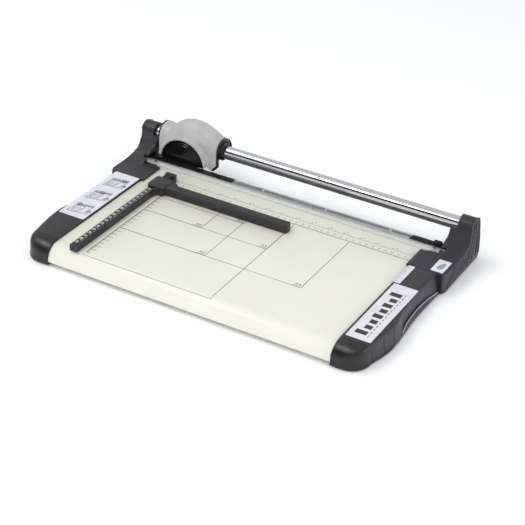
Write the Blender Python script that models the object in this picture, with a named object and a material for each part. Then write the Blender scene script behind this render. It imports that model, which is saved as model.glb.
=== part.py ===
"""Rotary paper trimmer: a steel table between two end caps, with a cutting head that slides on a round rail.

Frame: metres, +X to the right along the rail, +Y to the back, +Z up. The origin is the middle of the
footprint, on the surface that the rubber feet stand on.
"""

import math

import bmesh
import bpy
from mathutils import Matrix, Vector

# ---------------------------------------------------------------- driving dimensions
GAP = 0.0003  # between pieces that touch
SCREW_HOLE = 0.0016  # radius of a clearance hole for a screw
TABLE_TOP = 0.029
CUT_Y = 0.134  # rear face of the counter blade, where the paper is cut
TABLE_HALF = 0.2235  # the table's half width, 6 mm of it inside each cap
CAP_INNER = 0.2175
PLATE = 0.0015  # steel thickness of the table
ROLL = 0.021  # radius of the table's rolled front edge
ROLL_Y = CUT_Y - 0.290
TRAY_FRONT = -0.158
TRAY_BACK = 0.104
TRAY_LOW = 0.0035
TRAY_THICK = 0.0012
TRAY_LIP = 0.012  # height of the tray's front lip above the ground

CAP_BOTTOM = 0.002
CAP_TOP = TABLE_TOP + 0.003
SEAM_Y = 0.054  # where a front cap meets its rail bracket
BRACKET_OUTER = 0.272
CORNER_INNER = 0.2135
ARM_INNER = 0.2405
HOLDER_INNER = 0.2495
NOSE = (0.231, -0.148)  # centre of a cap's round front corner
NOSE_R = 0.030
CAP_RIM = 0.003  # how far a cap stands proud of the table
HOLLOW_X = (0.2268, 0.2585)
HOLLOW_TOP = 0.0285
CELL, RIB = 0.0415, 0.003  # the cap's hollow underside and the ribs across it
CAP_SCREW_X, CAP_SCREW_Z = 0.250, 0.016
FRONT_FOOT = (0.241, -0.147)
REAR_FOOT = (0.255, 0.152)

RAIL_Y = CUT_Y + 0.018
RAIL_Z = TABLE_TOP + 0.031
RAIL_R = 0.010
RAIL_HALF = 0.259
RAIL_WALL = 0.0015
RAIL_SCREW_SEAT = 0.2680

BED_FRONT = 0.1063
BED_BACK = 0.1316
BED_TOP = 0.0268
BED_BOTTOM = 0.004
BED_HALF = 0.240
BED_WALL = 0.003
BED_SCREW_X, BED_SCREW_Z = 0.2345, 0.015
STRIP_HALF = 0.220  # the counter blade
STRIP_THICK = 0.002
STRIP_BOTTOM = 0.013
STRIP_SCREW_X = (-0.195, -0.065, 0.065, 0.195)
STRIP_SCREW_Z = 0.0185

CLAMP_GAP = 0.001  # paper slot under the raised clamp
CLAMP_Z = TABLE_TOP + CLAMP_GAP
CLAMP_HALF = 0.2465
CLAMP_FRONT = CUT_Y - 0.027
CLAMP_BACK = CUT_Y - 0.0012
CLAMP_THICK = 0.002
CLAMP_PIN_X = 0.229
CLAMP_PIN_Y = 0.124
CLAMP_PIN_R = 0.002
BAR_FRONT, BAR_BACK = CUT_Y - 0.0165, CUT_Y - 0.0045
BAR_HALF = 0.1885

HEAD_LEFT = -0.2345
HEAD_RIGHT = -0.1355
HEAD_FRONT = CUT_Y - 0.004
HEAD_BACK = 0.1765
HEAD_WALL = 0.0022
ARCH_TOP = 0.0855
DOME_X = -0.173
DOME_Z = 0.0415
DOME_R = 0.060
GUARD_X = -0.1935
GUARD_Z = 0.0321
GUARD_R = 0.0368
GUARD_BOTTOM = 0.0348
POST_SPREAD = 0.0275  # from the guard's middle to each of its posts
POST_Z = 0.0440
SHELL_SCREW_X = (-0.215, -0.155)
SHELL_SCREW_Z = 0.053
SLEEVE_R = 0.0136  # the carriage's tube round the rail
BUSH_R = 0.0117

BLADE_R = 0.0225
BLADE_Z = TABLE_TOP - 0.002 + BLADE_R
BLADE_Y = CUT_Y + GAP
BLADE_THICK = 0.001
HUB_R = 0.0090
HUB_BACK = 0.1375
AXLE_R = 0.0024

GUIDE_RIGHT = -0.177
GUIDE_WIDE = 0.0115
GUIDE_FRONT = -0.165
GUIDE_BACK = 0.0757
GUIDE_TOP = TABLE_TOP + 0.011
GUIDE_SCREW_Y = {"front": -0.135, "rear": 0.055}

STOP_BACK = CUT_Y - 0.0828
STOP_FRONT = CUT_Y - 0.0975
STOP_RIGHT = GUIDE_RIGHT + 0.2135
STOP_HEAD_BACK = CUT_Y - 0.0725
STOP_FILLET = 0.015

RIGHT, LEFT = 1, -1
SIDES = {"left": LEFT, "right": RIGHT}


# ---------------------------------------------------------------- materials
def finish(name, colour, roughness, metallic=0.0, alpha=1.0):
    made = bpy.data.materials.new(name)
    made.use_nodes = True
    shader = made.node_tree.nodes["Principled BSDF"]
    shader.inputs["Base Color"].default_value = (*colour, 1.0)
    shader.inputs["Roughness"].default_value = roughness
    shader.inputs["Metallic"].default_value = metallic
    shader.inputs["Alpha"].default_value = alpha
    return made


def make_finishes():
    return {
        "cream_enamel": finish("cream_enamel", (0.78, 0.77, 0.68), 0.45),
        "black_plastic": finish("black_plastic", (0.055, 0.05, 0.055), 0.5),
        "grey_plastic": finish("grey_plastic", (0.52, 0.52, 0.52), 0.45),
        "dark_trim": finish("dark_trim", (0.02, 0.02, 0.022), 0.35),
        "chrome": finish("chrome", (0.85, 0.85, 0.86), 0.08, 1.0),
        "steel": finish("steel", (0.62, 0.62, 0.63), 0.3, 1.0),
        "black_aluminium": finish("black_aluminium", (0.035, 0.033, 0.036), 0.4, 0.6),
        "black_steel": finish("black_steel", (0.03, 0.03, 0.03), 0.5, 0.3),
        "clear_acrylic": finish("clear_acrylic", (0.9, 0.93, 0.93), 0.05, 0.0, 0.35),
        "label": finish("label", (0.76, 0.75, 0.8), 0.5),
        "rubber": finish("rubber", (0.03, 0.03, 0.03), 0.9),
    }


# ---------------------------------------------------------------- shape helpers
def piece(name, bm, look, smooth=None):
    """Turns a bmesh into a named object, with its faces pointing out."""
    bmesh.ops.recalc_face_normals(bm, faces=bm.faces)
    mesh = bpy.data.meshes.new(name)
    bm.to_mesh(mesh)
    bm.free()
    if smooth is not None:
        mesh.shade_smooth()
        mesh.set_sharp_from_angle(angle=math.radians(smooth))
    made = bpy.data.objects.new(name, mesh)
    if look:
        mesh.materials.append(look)
    bpy.context.scene.collection.objects.link(made)
    return made


def helper(name, bm):
    """A hidden shape that only cuts or adds to another."""
    made = piece(name, bm, None)
    made.hide_render = True
    made.display_type = "WIRE"
    return made


def combine(target, tool, operation):
    step = target.modifiers.new(f"{operation.lower()} {tool.name}", "BOOLEAN")
    step.operation = operation
    step.solver = "EXACT"
    step.object = tool
    return target


def cut(target, *tools):
    for tool in tools:
        combine(target, tool, "DIFFERENCE")
    return target


def fuse(target, *tools):
    for tool in tools:
        combine(target, tool, "UNION")
    return target


def soften(target, width, segments=2, angle=40):
    step = target.modifiers.new("edges", "BEVEL")
    step.width = width
    step.segments = segments
    step.limit_method = "ANGLE"
    step.angle_limit = math.radians(angle)
    return target


def prism(outline, axis, low, high):
    """A closed outline pushed along an axis. The outline's two numbers are the other two axes in order."""
    places = {"X": lambda a, b, t: (t, a, b), "Y": lambda a, b, t: (a, t, b), "Z": lambda a, b, t: (a, b, t)}
    bm = bmesh.new()
    face = bm.faces.new([bm.verts.new(places[axis](a, b, low)) for a, b in outline])
    pushed = bmesh.ops.extrude_face_region(bm, geom=[face])
    new = [g for g in pushed["geom"] if isinstance(g, bmesh.types.BMVert)]
    bmesh.ops.translate(bm, verts=new, vec=Vector(places[axis](0, 0, high - low)))
    return bm


def block(low, high):
    (x0, y0, z0), (x1, y1, z1) = low, high
    return prism([(x0, y0), (x1, y0), (x1, y1), (x0, y1)], "Z", z0, z1)


def turned(profile, axis, centre, steps=32):
    """A profile of (radius, distance along the axis) spun once round an axis through centre.
    It closes on itself, or starts and ends on the axis."""
    turn = {"X": Matrix.Rotation(math.pi / 2, 3, "Y"), "Y": Matrix.Rotation(-math.pi / 2, 3, "X")}
    bm = bmesh.new()
    rim = [bm.verts.new((r, 0, t)) for r, t in profile]
    edges = [bm.edges.new(pair) for pair in zip(rim, rim[1:])]
    if profile[0][0] > 0:
        edges.append(bm.edges.new((rim[-1], rim[0])))
    bmesh.ops.spin(
        bm, geom=rim + edges, cent=(0, 0, 0), axis=(0, 0, 1), angle=2 * math.pi, steps=steps, use_merge=True
    )
    bmesh.ops.remove_doubles(bm, verts=bm.verts, dist=1e-6)
    if axis in turn:
        bmesh.ops.rotate(bm, verts=bm.verts, matrix=turn[axis])
    bmesh.ops.translate(bm, verts=bm.verts, vec=Vector(centre))
    return bm


def rod(radius, low, high, axis, centre, steps=24):
    return turned([(0, low), (radius, low), (radius, high), (0, high)], axis, centre, steps)


def ring(inner, outer, low, high, axis, centre, steps=32):
    return turned([(inner, low), (outer, low), (outer, high), (inner, high)], axis, centre, steps)


def arc(centre, radius, start, end, steps):
    """Points on an arc, in degrees, both ends included."""
    turns = [math.radians(start + (end - start) * i / steps) for i in range(steps + 1)]
    return [(centre[0] + radius * math.cos(a), centre[1] + radius * math.sin(a)) for a in turns]


def smooth_line(points, per_span):
    """A smooth curve through the points, by the Catmull-Rom formula."""
    line = []
    for i in range(len(points) - 1):
        p = [Vector(points[min(max(k, 0), len(points) - 1)]) for k in (i - 1, i, i + 1, i + 2)]
        for s in range(per_span):
            t = s / per_span
            line.append(
                0.5
                * (
                    2 * p[1]
                    + (p[2] - p[0]) * t
                    + (2 * p[0] - 5 * p[1] + 4 * p[2] - p[3]) * t * t
                    + (3 * p[1] - p[0] - 3 * p[2] + p[3]) * t**3
                )
            )
    line.append(Vector(points[-1]))
    return [tuple(v) for v in line]


def screw(name, look, axis, tip, seat, head_radius=0.003, shank=0.0013, head_thick=0.0017):
    """A pan-head screw along an axis. Its tip is a distance along that axis, and seat is the middle of the
    face that its head rests on."""
    along = "XYZ".index(axis)
    seat_at = seat[along]
    way = 1 if seat_at > tip else -1
    crown = seat_at + way * head_thick
    base = Vector(seat)
    base[along] = 0
    profile = [
        (0, tip),
        (shank, tip),
        (shank, seat_at),
        (head_radius, seat_at),
        (head_radius, seat_at + way * head_thick * 0.55),
        (head_radius * 0.7, crown),
        (0, crown),
    ]
    return piece(name, turned(profile, axis, base, 12), look, 40)


# ---------------------------------------------------------------- table and bed
def table_outline(grow):
    """The folded plate's section across the table, made thicker all round by grow."""
    top = TABLE_TOP + grow
    inner = ROLL - PLATE - grow
    centre = (ROLL_Y, TABLE_TOP - ROLL)
    lip = centre[1] - 0.0015
    rear = CUT_Y - 0.0023 + grow
    outside = [(rear, top)] + arc(centre, ROLL + grow, 90, 180, 8) + [(ROLL_Y - ROLL - grow, lip - grow)]
    lip_end = ROLL_Y - ROLL + 0.014 + grow
    lip_part = [(lip_end, lip - grow), (lip_end, lip + PLATE + grow), (ROLL_Y - inner, lip + PLATE + grow)]
    inside = arc(centre, inner, 180, 90, 8)[1:] + [(rear, TABLE_TOP - PLATE - grow)]
    return outside + lip_part + inside


def make_table(looks):
    folded = prism(table_outline(0), "X", -TABLE_HALF, TABLE_HALF)
    table = piece("table_plate", folded, looks["cream_enamel"], 30)
    middle = GUIDE_RIGHT - GUIDE_WIDE / 2
    for name, y in GUIDE_SCREW_Y.items():
        hole = helper(f"table_hole_{name}", rod(0.0021, 0.02, 0.035, "Z", (middle, y, 0), 16))
        cut(table, hole)

    floor = TRAY_LOW + TRAY_THICK
    lip_back = TRAY_FRONT + TRAY_THICK
    tray = [(TRAY_FRONT, TRAY_LOW), (TRAY_FRONT, TRAY_LIP), (lip_back, TRAY_LIP), (lip_back, floor)]
    tray += [(TRAY_BACK, floor), (TRAY_BACK, TRAY_LOW)]
    piece("base_tray", prism(tray, "X", -TABLE_HALF, TABLE_HALF), looks["black_steel"])

    bed = piece(
        "bed_rail",
        block((-BED_HALF, BED_FRONT, BED_BOTTOM), (BED_HALF, BED_BACK, BED_TOP)),
        looks["black_aluminium"],
    )
    hollow = block(
        (-BED_HALF - 0.01, BED_FRONT + BED_WALL, BED_BOTTOM + BED_WALL),
        (BED_HALF + 0.01, BED_BACK - BED_WALL, BED_TOP - BED_WALL),
    )
    cut(bed, helper("bed_hollow", hollow))

    strip = piece(
        "counter_blade",
        block((-STRIP_HALF, CUT_Y - STRIP_THICK, STRIP_BOTTOM), (STRIP_HALF, CUT_Y, TABLE_TOP)),
        looks["steel"],
    )
    for i, x in enumerate(STRIP_SCREW_X, 1):
        drill = helper(f"strip_hole_{i}", rod(SCREW_HOLE, 0.120, 0.140, "Y", (x, 0, STRIP_SCREW_Z), 12))
        cut(strip, drill)
        cut(bed, drill)
        screw(f"counter_blade_screw_{i}", looks["steel"], "Y", 0.127, (x, CUT_Y + GAP, STRIP_SCREW_Z))
    for name, side in SIDES.items():
        x = side * BED_SCREW_X
        end_hole = rod(SCREW_HOLE, 0.127, 0.140, "Y", (x, 0, BED_SCREW_Z), 12)
        cut(bed, helper(f"bed_end_hole_{name}", end_hole))
        screw(f"bed_rail_screw_{name}", looks["steel"], "Y", 0.121, (x, BED_BACK + GAP, BED_SCREW_Z))
        pin_hole = rod(0.0024, 0.022, 0.030, "Z", (side * CLAMP_PIN_X, CLAMP_PIN_Y, 0), 16)
        cut(bed, helper(f"clamp_pin_hole_{name}", pin_hole))


# ---------------------------------------------------------------- end caps and rail brackets
def cap_stations():
    """Places along a front cap, front to back: (y, outer x at the bottom, top height)."""
    stations = []
    for angle in (84, 70, 55, 40, 25, 10):
        a = math.radians(angle)
        stations.append((NOSE[1] - NOSE_R * math.sin(a), NOSE[0] + NOSE_R * math.cos(a) ** 0.85))
    waist = [(-0.146, 0.2612), (-0.116, 0.268), (-0.082, 0.270), (-0.034, 0.266), (0.010, 0.2655)]
    stations += smooth_line(waist + [(SEAM_Y - GAP, 0.2665)], 2)
    result = []
    for y, x in stations:
        ahead = max(0.0, ROLL_Y - y)
        above_roll = math.sqrt((ROLL + CAP_RIM) ** 2 - ahead**2)
        result.append((y, x, TABLE_TOP - ROLL + above_roll))
    return result


def cap_body(side):
    """The cap's outer skin: sections across it, joined from front to back."""
    lean, round_off = 0.0045, 0.0035
    bm = bmesh.new()
    rows = []
    for y, outer, top in cap_stations():
        rise = top - CAP_BOTTOM
        shoulder = min(round_off, rise * 0.4)
        section = [
            (CAP_INNER, CAP_BOTTOM),
            (CAP_INNER, CAP_BOTTOM + rise),
            (outer - lean - shoulder, CAP_BOTTOM + rise),
            (outer - lean - shoulder * 0.3, CAP_BOTTOM + rise - shoulder * 0.3),
            (outer - lean, CAP_BOTTOM + rise - shoulder),
            (outer, CAP_BOTTOM),
        ]
        rows.append([bm.verts.new((side * x, y, z)) for x, z in section])
    for a, b in zip(rows, rows[1:]):
        for i in range(len(a)):
            j = (i + 1) % len(a)
            bm.faces.new((a[i], a[j], b[j], b[i]))
    bm.faces.new(rows[0])
    bm.faces.new(rows[-1])
    return bm


def hollow_block(side, x_low, x_high, y_low, y_high, top):
    xs = sorted((side * x_low, side * x_high))
    return block((xs[0], y_low, -0.01), (xs[1], y_high, top))


def slot_tools(name, side):
    """Cutters for the slots that hold the ends of the table and of the base tray."""
    reach = sorted((side * (CAP_INNER - 0.02), side * (TABLE_HALF + GAP)))
    table = helper(f"table_slot_{name}", prism(table_outline(GAP), "X", *reach))
    front, low, floor = TRAY_FRONT - GAP, TRAY_LOW - GAP, TRAY_LOW + TRAY_THICK + GAP
    tray = helper(f"tray_slot_{name}", block((reach[0], front, low), (reach[1], BED_FRONT, floor)))
    lip_back = TRAY_FRONT + TRAY_THICK + GAP
    lip_slot = block((reach[0], front, floor - 0.001), (reach[1], lip_back, TRAY_LIP + 0.0005))
    return table, tray, helper(f"tray_lip_slot_{name}", lip_slot)


def make_foot(name, look, x, y):
    pad = [(0, 0), (0.0078, 0), (0.009, 0.0012), (0.009, 0.0046)]
    profile = pad + [(0.0029, 0.0046), (0.0029, 0.010), (0, 0.010)]
    return piece(f"rubber_foot_{name}", turned(profile, "Z", (x, y, 0), 20), look, 40)


def foot_tool(name, x, y):
    profile = [(0, -0.01), (0.0095, -0.01), (0.0095, 0.005), (0.0032, 0.005), (0.0032, 0.0105), (0, 0.0105)]
    return helper(f"foot_recess_{name}", turned(profile, "Z", (x, y, 0), 20))


def seam_hole(side):
    return rod(0.0017, SEAM_Y - 0.009, SEAM_Y + 0.016, "Y", (side * CAP_SCREW_X, 0, CAP_SCREW_Z), 12)


def make_cap(looks, name, side):
    cap = piece(f"{name}_end_cap", cap_body(side), looks["black_plastic"], 35)
    x, y = side * FRONT_FOOT[0], FRONT_FOOT[1]
    foot = f"front_{name}"
    cut(cap, *slot_tools(f"cap_{name}", side), foot_tool(foot, x, y))
    end_wall = SEAM_Y - 0.004
    for i in range(4):
        low = end_wall - CELL - i * (CELL + RIB)
        cut(cap, helper(f"cap_hollow_{name}_{i}", hollow_block(side, *HOLLOW_X, low, low + CELL, HOLLOW_TOP)))
    cut(cap, helper(f"cap_screw_hole_{name}", seam_hole(side)))
    make_foot(foot, looks["rubber"], x, y)
    seat = (side * CAP_SCREW_X, end_wall - GAP, CAP_SCREW_Z)
    screw(f"cap_screw_{name}", looks["steel"], "Y", SEAM_Y + 0.006, seat)


def arm_outline():
    """The rail bracket's side view, front to back: it sweeps up to the round holder and down behind it."""
    low = CAP_BOTTOM + GAP
    top = [
        (0.094, CAP_TOP - 0.0005),
        (0.112, 0.0338),
        (0.126, 0.0372),
        (0.1352, 0.0440),
        (0.1384, 0.0530),
        (0.1400, 0.0640),
    ]
    crown = arc((RAIL_Y, RAIL_Z), 0.0145, 160, 15, 7)
    back = [(0.1700, 0.0440), (0.1752, 0.0260), (0.1776, 0.0120), (0.1760, low)]
    return smooth_line(top, 2) + crown + back + [(0.094, low)]


def make_bracket(looks, name, side):
    def across(a, b):
        return sorted((side * a, side * b))

    plan = [
        (CORNER_INNER, SEAM_Y + GAP),
        (BRACKET_OUTER - 0.004, SEAM_Y + GAP),
        (BRACKET_OUTER, SEAM_Y + 0.010),
        (BRACKET_OUTER, 0.112),
        (ARM_INNER + 0.002, 0.112),
        (ARM_INNER + 0.001, 0.1055),
        (CORNER_INNER, 0.1013),
    ]
    body = prism([(side * x, y) for x, y in plan], "Z", CAP_BOTTOM, CAP_TOP)
    bracket = piece(f"{name}_rail_bracket", body, looks["black_plastic"], 35)
    arm = helper(f"arm_{name}", prism(arm_outline(), "X", *across(ARM_INNER, BRACKET_OUTER + 0.001)))
    fuse(bracket, arm)
    lug_x = across(0.228, ARM_INNER + 0.003)
    lug = block((lug_x[0], BED_FRONT + BED_WALL + 0.0004, 0.0075), (lug_x[1], 0.1282, 0.0225))
    fuse(bracket, helper(f"bed_lug_{name}", lug))

    cradle_x = across(ARM_INNER - 0.004, HOLDER_INNER)
    cradle = block((cradle_x[0], 0.12, RAIL_Z), (cradle_x[1], 0.19, 0.09))
    steps = [(RAIL_R + GAP, ARM_INNER - 0.004), (RAIL_R + GAP, RAIL_HALF + GAP), (0.0028, RAIL_HALF + GAP)]
    steps += [(0.0028, RAIL_SCREW_SEAT), (0.0058, RAIL_SCREW_SEAT), (0.0058, 0.280)]
    profile = [(0, side * steps[0][1])] + [(r, side * x) for r, x in steps] + [(0, side * steps[-1][1])]
    socket = turned(profile, "X", (0, RAIL_Y, RAIL_Z), 32)
    pocket_x = across(ARM_INNER - 0.004, CLAMP_HALF + 0.001)
    pocket = block((pocket_x[0], 0.1056, BED_TOP + 0.0004), (pocket_x[1], CLAMP_BACK + 0.001, 0.040))
    lug_hole = rod(SCREW_HOLE, 0.120, 0.140, "Y", (side * BED_SCREW_X, 0, BED_SCREW_Z), 12)
    tools = {
        "cradle": cradle,
        "rail_socket": socket,
        "clamp_pocket": pocket,
        "lug_hole": lug_hole,
        "joint_hole": seam_hole(side),
        "corner_hollow": hollow_block(side, HOLLOW_X[0], 0.2670, SEAM_Y + 0.0055, 0.1005, HOLLOW_TOP),
    }
    cut(bracket, *[helper(f"{key}_{name}", bm) for key, bm in tools.items()])
    cut(bracket, *slot_tools(f"bracket_{name}", side))
    x, y = side * REAR_FOOT[0], REAR_FOOT[1]
    foot = f"rear_{name}"
    cut(bracket, foot_tool(foot, x, y))
    make_foot(foot, looks["rubber"], x, y)


def make_rail(looks):
    centre = (0, RAIL_Y, RAIL_Z)
    tube = ring(RAIL_R - RAIL_WALL, RAIL_R, -RAIL_HALF, RAIL_HALF, "X", centre, 32)
    piece("guide_rail", tube, looks["chrome"], 40)
    for name, side in SIDES.items():
        ends = sorted((side * (RAIL_HALF - 0.014), side * (RAIL_HALF - 0.0005)))
        plug = ring(0.0027, RAIL_R - RAIL_WALL - GAP, *ends, "X", centre, 32)
        piece(f"rail_plug_{name}", plug, looks["steel"], 40)
        tip, seat = side * (RAIL_HALF - 0.012), (side * (RAIL_SCREW_SEAT + GAP), RAIL_Y, RAIL_Z)
        screw(f"rail_screw_{name}", looks["steel"], "X", tip, seat, 0.0050, 0.0024, 0.0030)


# ---------------------------------------------------------------- paper clamp
def spring_coil(radius, wire, low, high, turns, centre):
    """A round wire wound into a coil that stands between two heights."""
    bm = bmesh.new()
    around, sides = 12, 5
    count = turns * around
    rise = (high - low - 2 * wire) / count
    rings = []
    for i in range(count + 1):
        a = 2 * math.pi * i / around
        out = Vector((math.cos(a), math.sin(a), 0))
        middle = Vector(centre) + out * radius + Vector((0, 0, low + wire + rise * i))
        turns_round = [2 * math.pi * k / sides for k in range(sides)]
        rings.append(
            [bm.verts.new(middle + wire * (out * math.cos(t) + Vector((0, 0, math.sin(t))))) for t in turns_round]
        )
    for a, b in zip(rings, rings[1:]):
        for k in range(sides):
            bm.faces.new((a[k], a[(k + 1) % sides], b[(k + 1) % sides], b[k]))
    bm.faces.new(rings[0])
    bm.faces.new(rings[-1])
    return bm


def make_clamp(looks, body):
    strip = block((-CLAMP_HALF, CLAMP_FRONT, CLAMP_Z), (CLAMP_HALF, CLAMP_BACK, CLAMP_Z + CLAMP_THICK))
    clear = piece("clamp_strip", strip, looks["clear_acrylic"])
    top = CLAMP_Z + CLAMP_THICK + GAP
    bar = block((-BAR_HALF, BAR_FRONT, top), (BAR_HALF, BAR_BACK, top + 0.0008))
    moving = [clear, piece("clamp_bar", bar, looks["steel"])]
    for name, side in SIDES.items():
        ends = sorted((side * (BAR_HALF + 0.0005), side * (CLAMP_HALF - 0.001)))
        end_block = block((ends[0], BAR_FRONT, top), (ends[1], BAR_BACK, top + 0.0014))
        end = piece(f"clamp_end_{name}", end_block, looks["dark_trim"])
        place = (side * CLAMP_PIN_X, CLAMP_PIN_Y, 0)
        hole = helper(f"clamp_hole_{name}", rod(0.0023, 0.028, 0.036, "Z", place, 16))
        cut(clear, hole)
        cut(end, hole)
        shaft = rod(CLAMP_PIN_R, 0.0242, 0.0340, "Z", place, 16)
        pin = piece(f"clamp_pin_{name}", shaft, looks["steel"], 40)
        coil = spring_coil(0.0035, 0.0003, BED_TOP + GAP, CLAMP_Z - GAP, 3, place)
        spring = piece(f"clamp_spring_{name}", coil, looks["steel"], 60)
        moving += [end, pin, spring]
    for item in moving:
        hang(item, body)


# ---------------------------------------------------------------- cutting head
def dome_top(x):
    """Height of the shell above a place along the rail: the low arch, or the palm dome where it is higher."""
    reach = DOME_R**2 - (x - DOME_X) ** 2
    return max(ARCH_TOP, DOME_Z + math.sqrt(reach)) if reach > 0 else ARCH_TOP


def shell_foot(x):
    """Height of the shell's front lower edge: the right foot comes to a point."""
    tip = GUARD_X + 0.0482
    return 0.0338 + (min(1.15 * abs(x - tip), 0.012) if x > GUARD_X else 0.0)


def make_shell(looks):
    bm = bmesh.new()
    stations = [HEAD_LEFT, -0.2250, -0.2155, -0.2135, -0.207, -0.199, -0.190, -0.181, -0.172, -0.163, -0.154]
    stations += [-0.149, -0.1453, -0.1415, HEAD_RIGHT]
    rows = []
    for x in stations:
        foot, rise = shell_foot(x), dome_top(x) - RAIL_Z
        flare = 0.0042 if x == HEAD_LEFT else 0.0
        row = [(x - flare, HEAD_FRONT, foot), (x - flare * 0.25, HEAD_FRONT, foot + 0.007)]
        row.append((x, HEAD_FRONT, 0.054))
        for k in range(13):
            a = math.pi * k / 12
            half = RAIL_Y - HEAD_FRONT if a < math.pi / 2 else HEAD_BACK - RAIL_Y
            row.append((x, RAIL_Y - half * math.cos(a), RAIL_Z + rise * math.sin(a)))
        row.append((x, HEAD_BACK, 0.042))
        rows.append([bm.verts.new(p) for p in row])
    for a, b in zip(rows, rows[1:]):
        for i in range(len(a) - 1):
            bm.faces.new((a[i], b[i], b[i + 1], a[i + 1]))
    shell = piece("head_shell", bm, looks["grey_plastic"], 35)
    wall = shell.modifiers.new("wall", "SOLIDIFY")
    wall.thickness = HEAD_WALL
    wall.offset = -1
    wall.use_even_offset = True
    opening = rod(GUARD_R + 0.0004, 0.120, HEAD_FRONT + 0.006, "Y", (GUARD_X, 0, GUARD_Z), 48)
    cut(shell, helper("guard_opening", opening))
    return shell


def arch_outline(front, radius, bottom, steps=12):
    """An upright arch round the rail, open to the ground: straight front and back, round top."""
    back = RAIL_Y + radius
    rise = radius
    points = [(front, bottom)]
    for k in range(steps + 1):
        a = math.pi * k / steps
        half = RAIL_Y - front if a < math.pi / 2 else radius
        points.append((RAIL_Y - half * math.cos(a), RAIL_Z + rise * math.sin(a)))
    return points + [(back, bottom)]


def make_carriage(looks):
    right_plate = prism(arch_outline(0.1315, 0.0245, 0.0370), "X", HEAD_RIGHT + GAP, HEAD_RIGHT + 0.0028)
    left_plate = prism(arch_outline(0.1328, 0.0245, 0.0460), "X", HEAD_LEFT - 0.0020, HEAD_LEFT - GAP)
    carriage = piece("head_carriage", right_plate, looks["dark_trim"], 35)
    span = (HEAD_LEFT - 0.0015, HEAD_RIGHT + 0.0020)
    parts = {
        "left_plate": left_plate,
        "front_plate": block((span[0], 0.1385, 0.0480), (span[1], 0.1410, 0.0700)),
        "front_plate_low": block((-0.225, 0.1387, 0.0370), (-0.160, 0.1408, 0.0500)),
        "rear_plate": block((span[0], 0.1716, 0.0480), (span[1], 0.1738, 0.0580)),
        "sleeve": rod(SLEEVE_R, *span, "X", (0, RAIL_Y, RAIL_Z), 32),
    }
    fuse(carriage, *[helper(f"carriage_{key}", bm) for key, bm in parts.items()])
    bore = rod(0.0120, -0.26, -0.11, "X", (0, RAIL_Y, RAIL_Z), 32)
    axle_hole = rod(0.0027, 0.130, 0.1432, "Y", (GUARD_X, 0, BLADE_Z), 16)
    cut(carriage, helper("carriage_bore", bore), helper("axle_hole", axle_hole))
    for i, x in enumerate(SHELL_SCREW_X, 1):
        hole = rod(SCREW_HOLE, 0.165, 0.180, "Y", (x, 0, SHELL_SCREW_Z), 12)
        cut(carriage, helper(f"shell_screw_hole_{i}", hole))
    for i, x in enumerate(post_places(), 1):
        hole = rod(SCREW_HOLE, 0.136, 0.145, "Y", (x, 0, POST_Z), 12)
        cut(carriage, helper(f"guard_screw_hole_{i}", hole))
    return carriage


def post_places():
    return GUARD_X - POST_SPREAD, GUARD_X + POST_SPREAD


def make_guard(looks):
    """The black half disc in front of the blade, stepped towards its rim, with two posts behind it."""
    face, back = HEAD_FRONT + 0.0003, 0.1330
    profile = [
        (0, back),
        (GUARD_R, back),
        (GUARD_R, face + 0.0016),
        (0.0340, face + 0.0014),
        (0.0334, face + 0.0007),
        (0.0300, face + 0.0006),
        (0.0294, face),
        (0, face),
    ]
    disc = turned(profile, "Y", (GUARD_X, 0, GUARD_Z), 48)
    guard = piece("blade_guard", disc, looks["dark_trim"], 25)
    for i, x in enumerate(post_places(), 1):
        fuse(guard, helper(f"guard_post_{i}", rod(0.0034, back - 0.001, 0.1382, "Y", (x, 0, POST_Z), 16)))
        hole = rod(SCREW_HOLE, 0.1335, 0.150, "Y", (x, 0, POST_Z), 12)
        cut(guard, helper(f"guard_post_hole_{i}", hole))
    below = block((-0.25, 0.12, -0.02), (-0.14, 0.15, GUARD_BOTTOM))
    cut(guard, helper("guard_below", below))
    return guard


def make_head(looks, body):
    centre = (0, RAIL_Y, RAIL_Z)
    moving = [make_shell(looks), make_carriage(looks), make_guard(looks)]
    bushes = {"left": (HEAD_LEFT - 0.0018, HEAD_LEFT + 0.012), "right": (HEAD_RIGHT - 0.012, HEAD_RIGHT + 0.0026)}
    for name, ends in bushes.items():
        bush = ring(RAIL_R + GAP, BUSH_R, *ends, "X", centre, 32)
        moving.append(piece(f"rail_bush_{name}", bush, looks["dark_trim"], 40))
    front, shoulder, back = 0.1333, 0.1340, 0.1428
    axle = [(0, front), (0.0055, front), (0.0055, shoulder), (AXLE_R, shoulder), (AXLE_R, back), (0, back)]
    moving.append(piece("blade_axle", turned(axle, "Y", (GUARD_X, 0, BLADE_Z), 24), looks["steel"], 40))
    cup = [(0.0033, 0.1378), (0.0078, 0.1380), (0.0078, 0.1382), (0.0033, 0.1380)]
    moving.append(piece("blade_spring", turned(cup, "Y", (GUARD_X, 0, BLADE_Z), 24), looks["steel"], 40))
    for i, x in enumerate(SHELL_SCREW_X, 1):
        rear = rod(SCREW_HOLE, 0.165, 0.185, "Y", (x, 0, SHELL_SCREW_Z), 12)
        cut(moving[0], helper(f"shell_rear_hole_{i}", rear))
        seat = (x, HEAD_BACK + GAP, SHELL_SCREW_Z)
        moving.append(screw(f"shell_screw_{i}", looks["steel"], "Y", 0.168, seat, 0.0028, 0.0013, 0.0011))
    for i, x in enumerate(post_places(), 1):
        seat = (x, 0.1413, POST_Z)
        moving.append(screw(f"guard_screw_{i}", looks["steel"], "Y", 0.1345, seat, 0.0026, 0.0013, 0.0013))
    for item in moving:
        hang(item, body)


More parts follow.
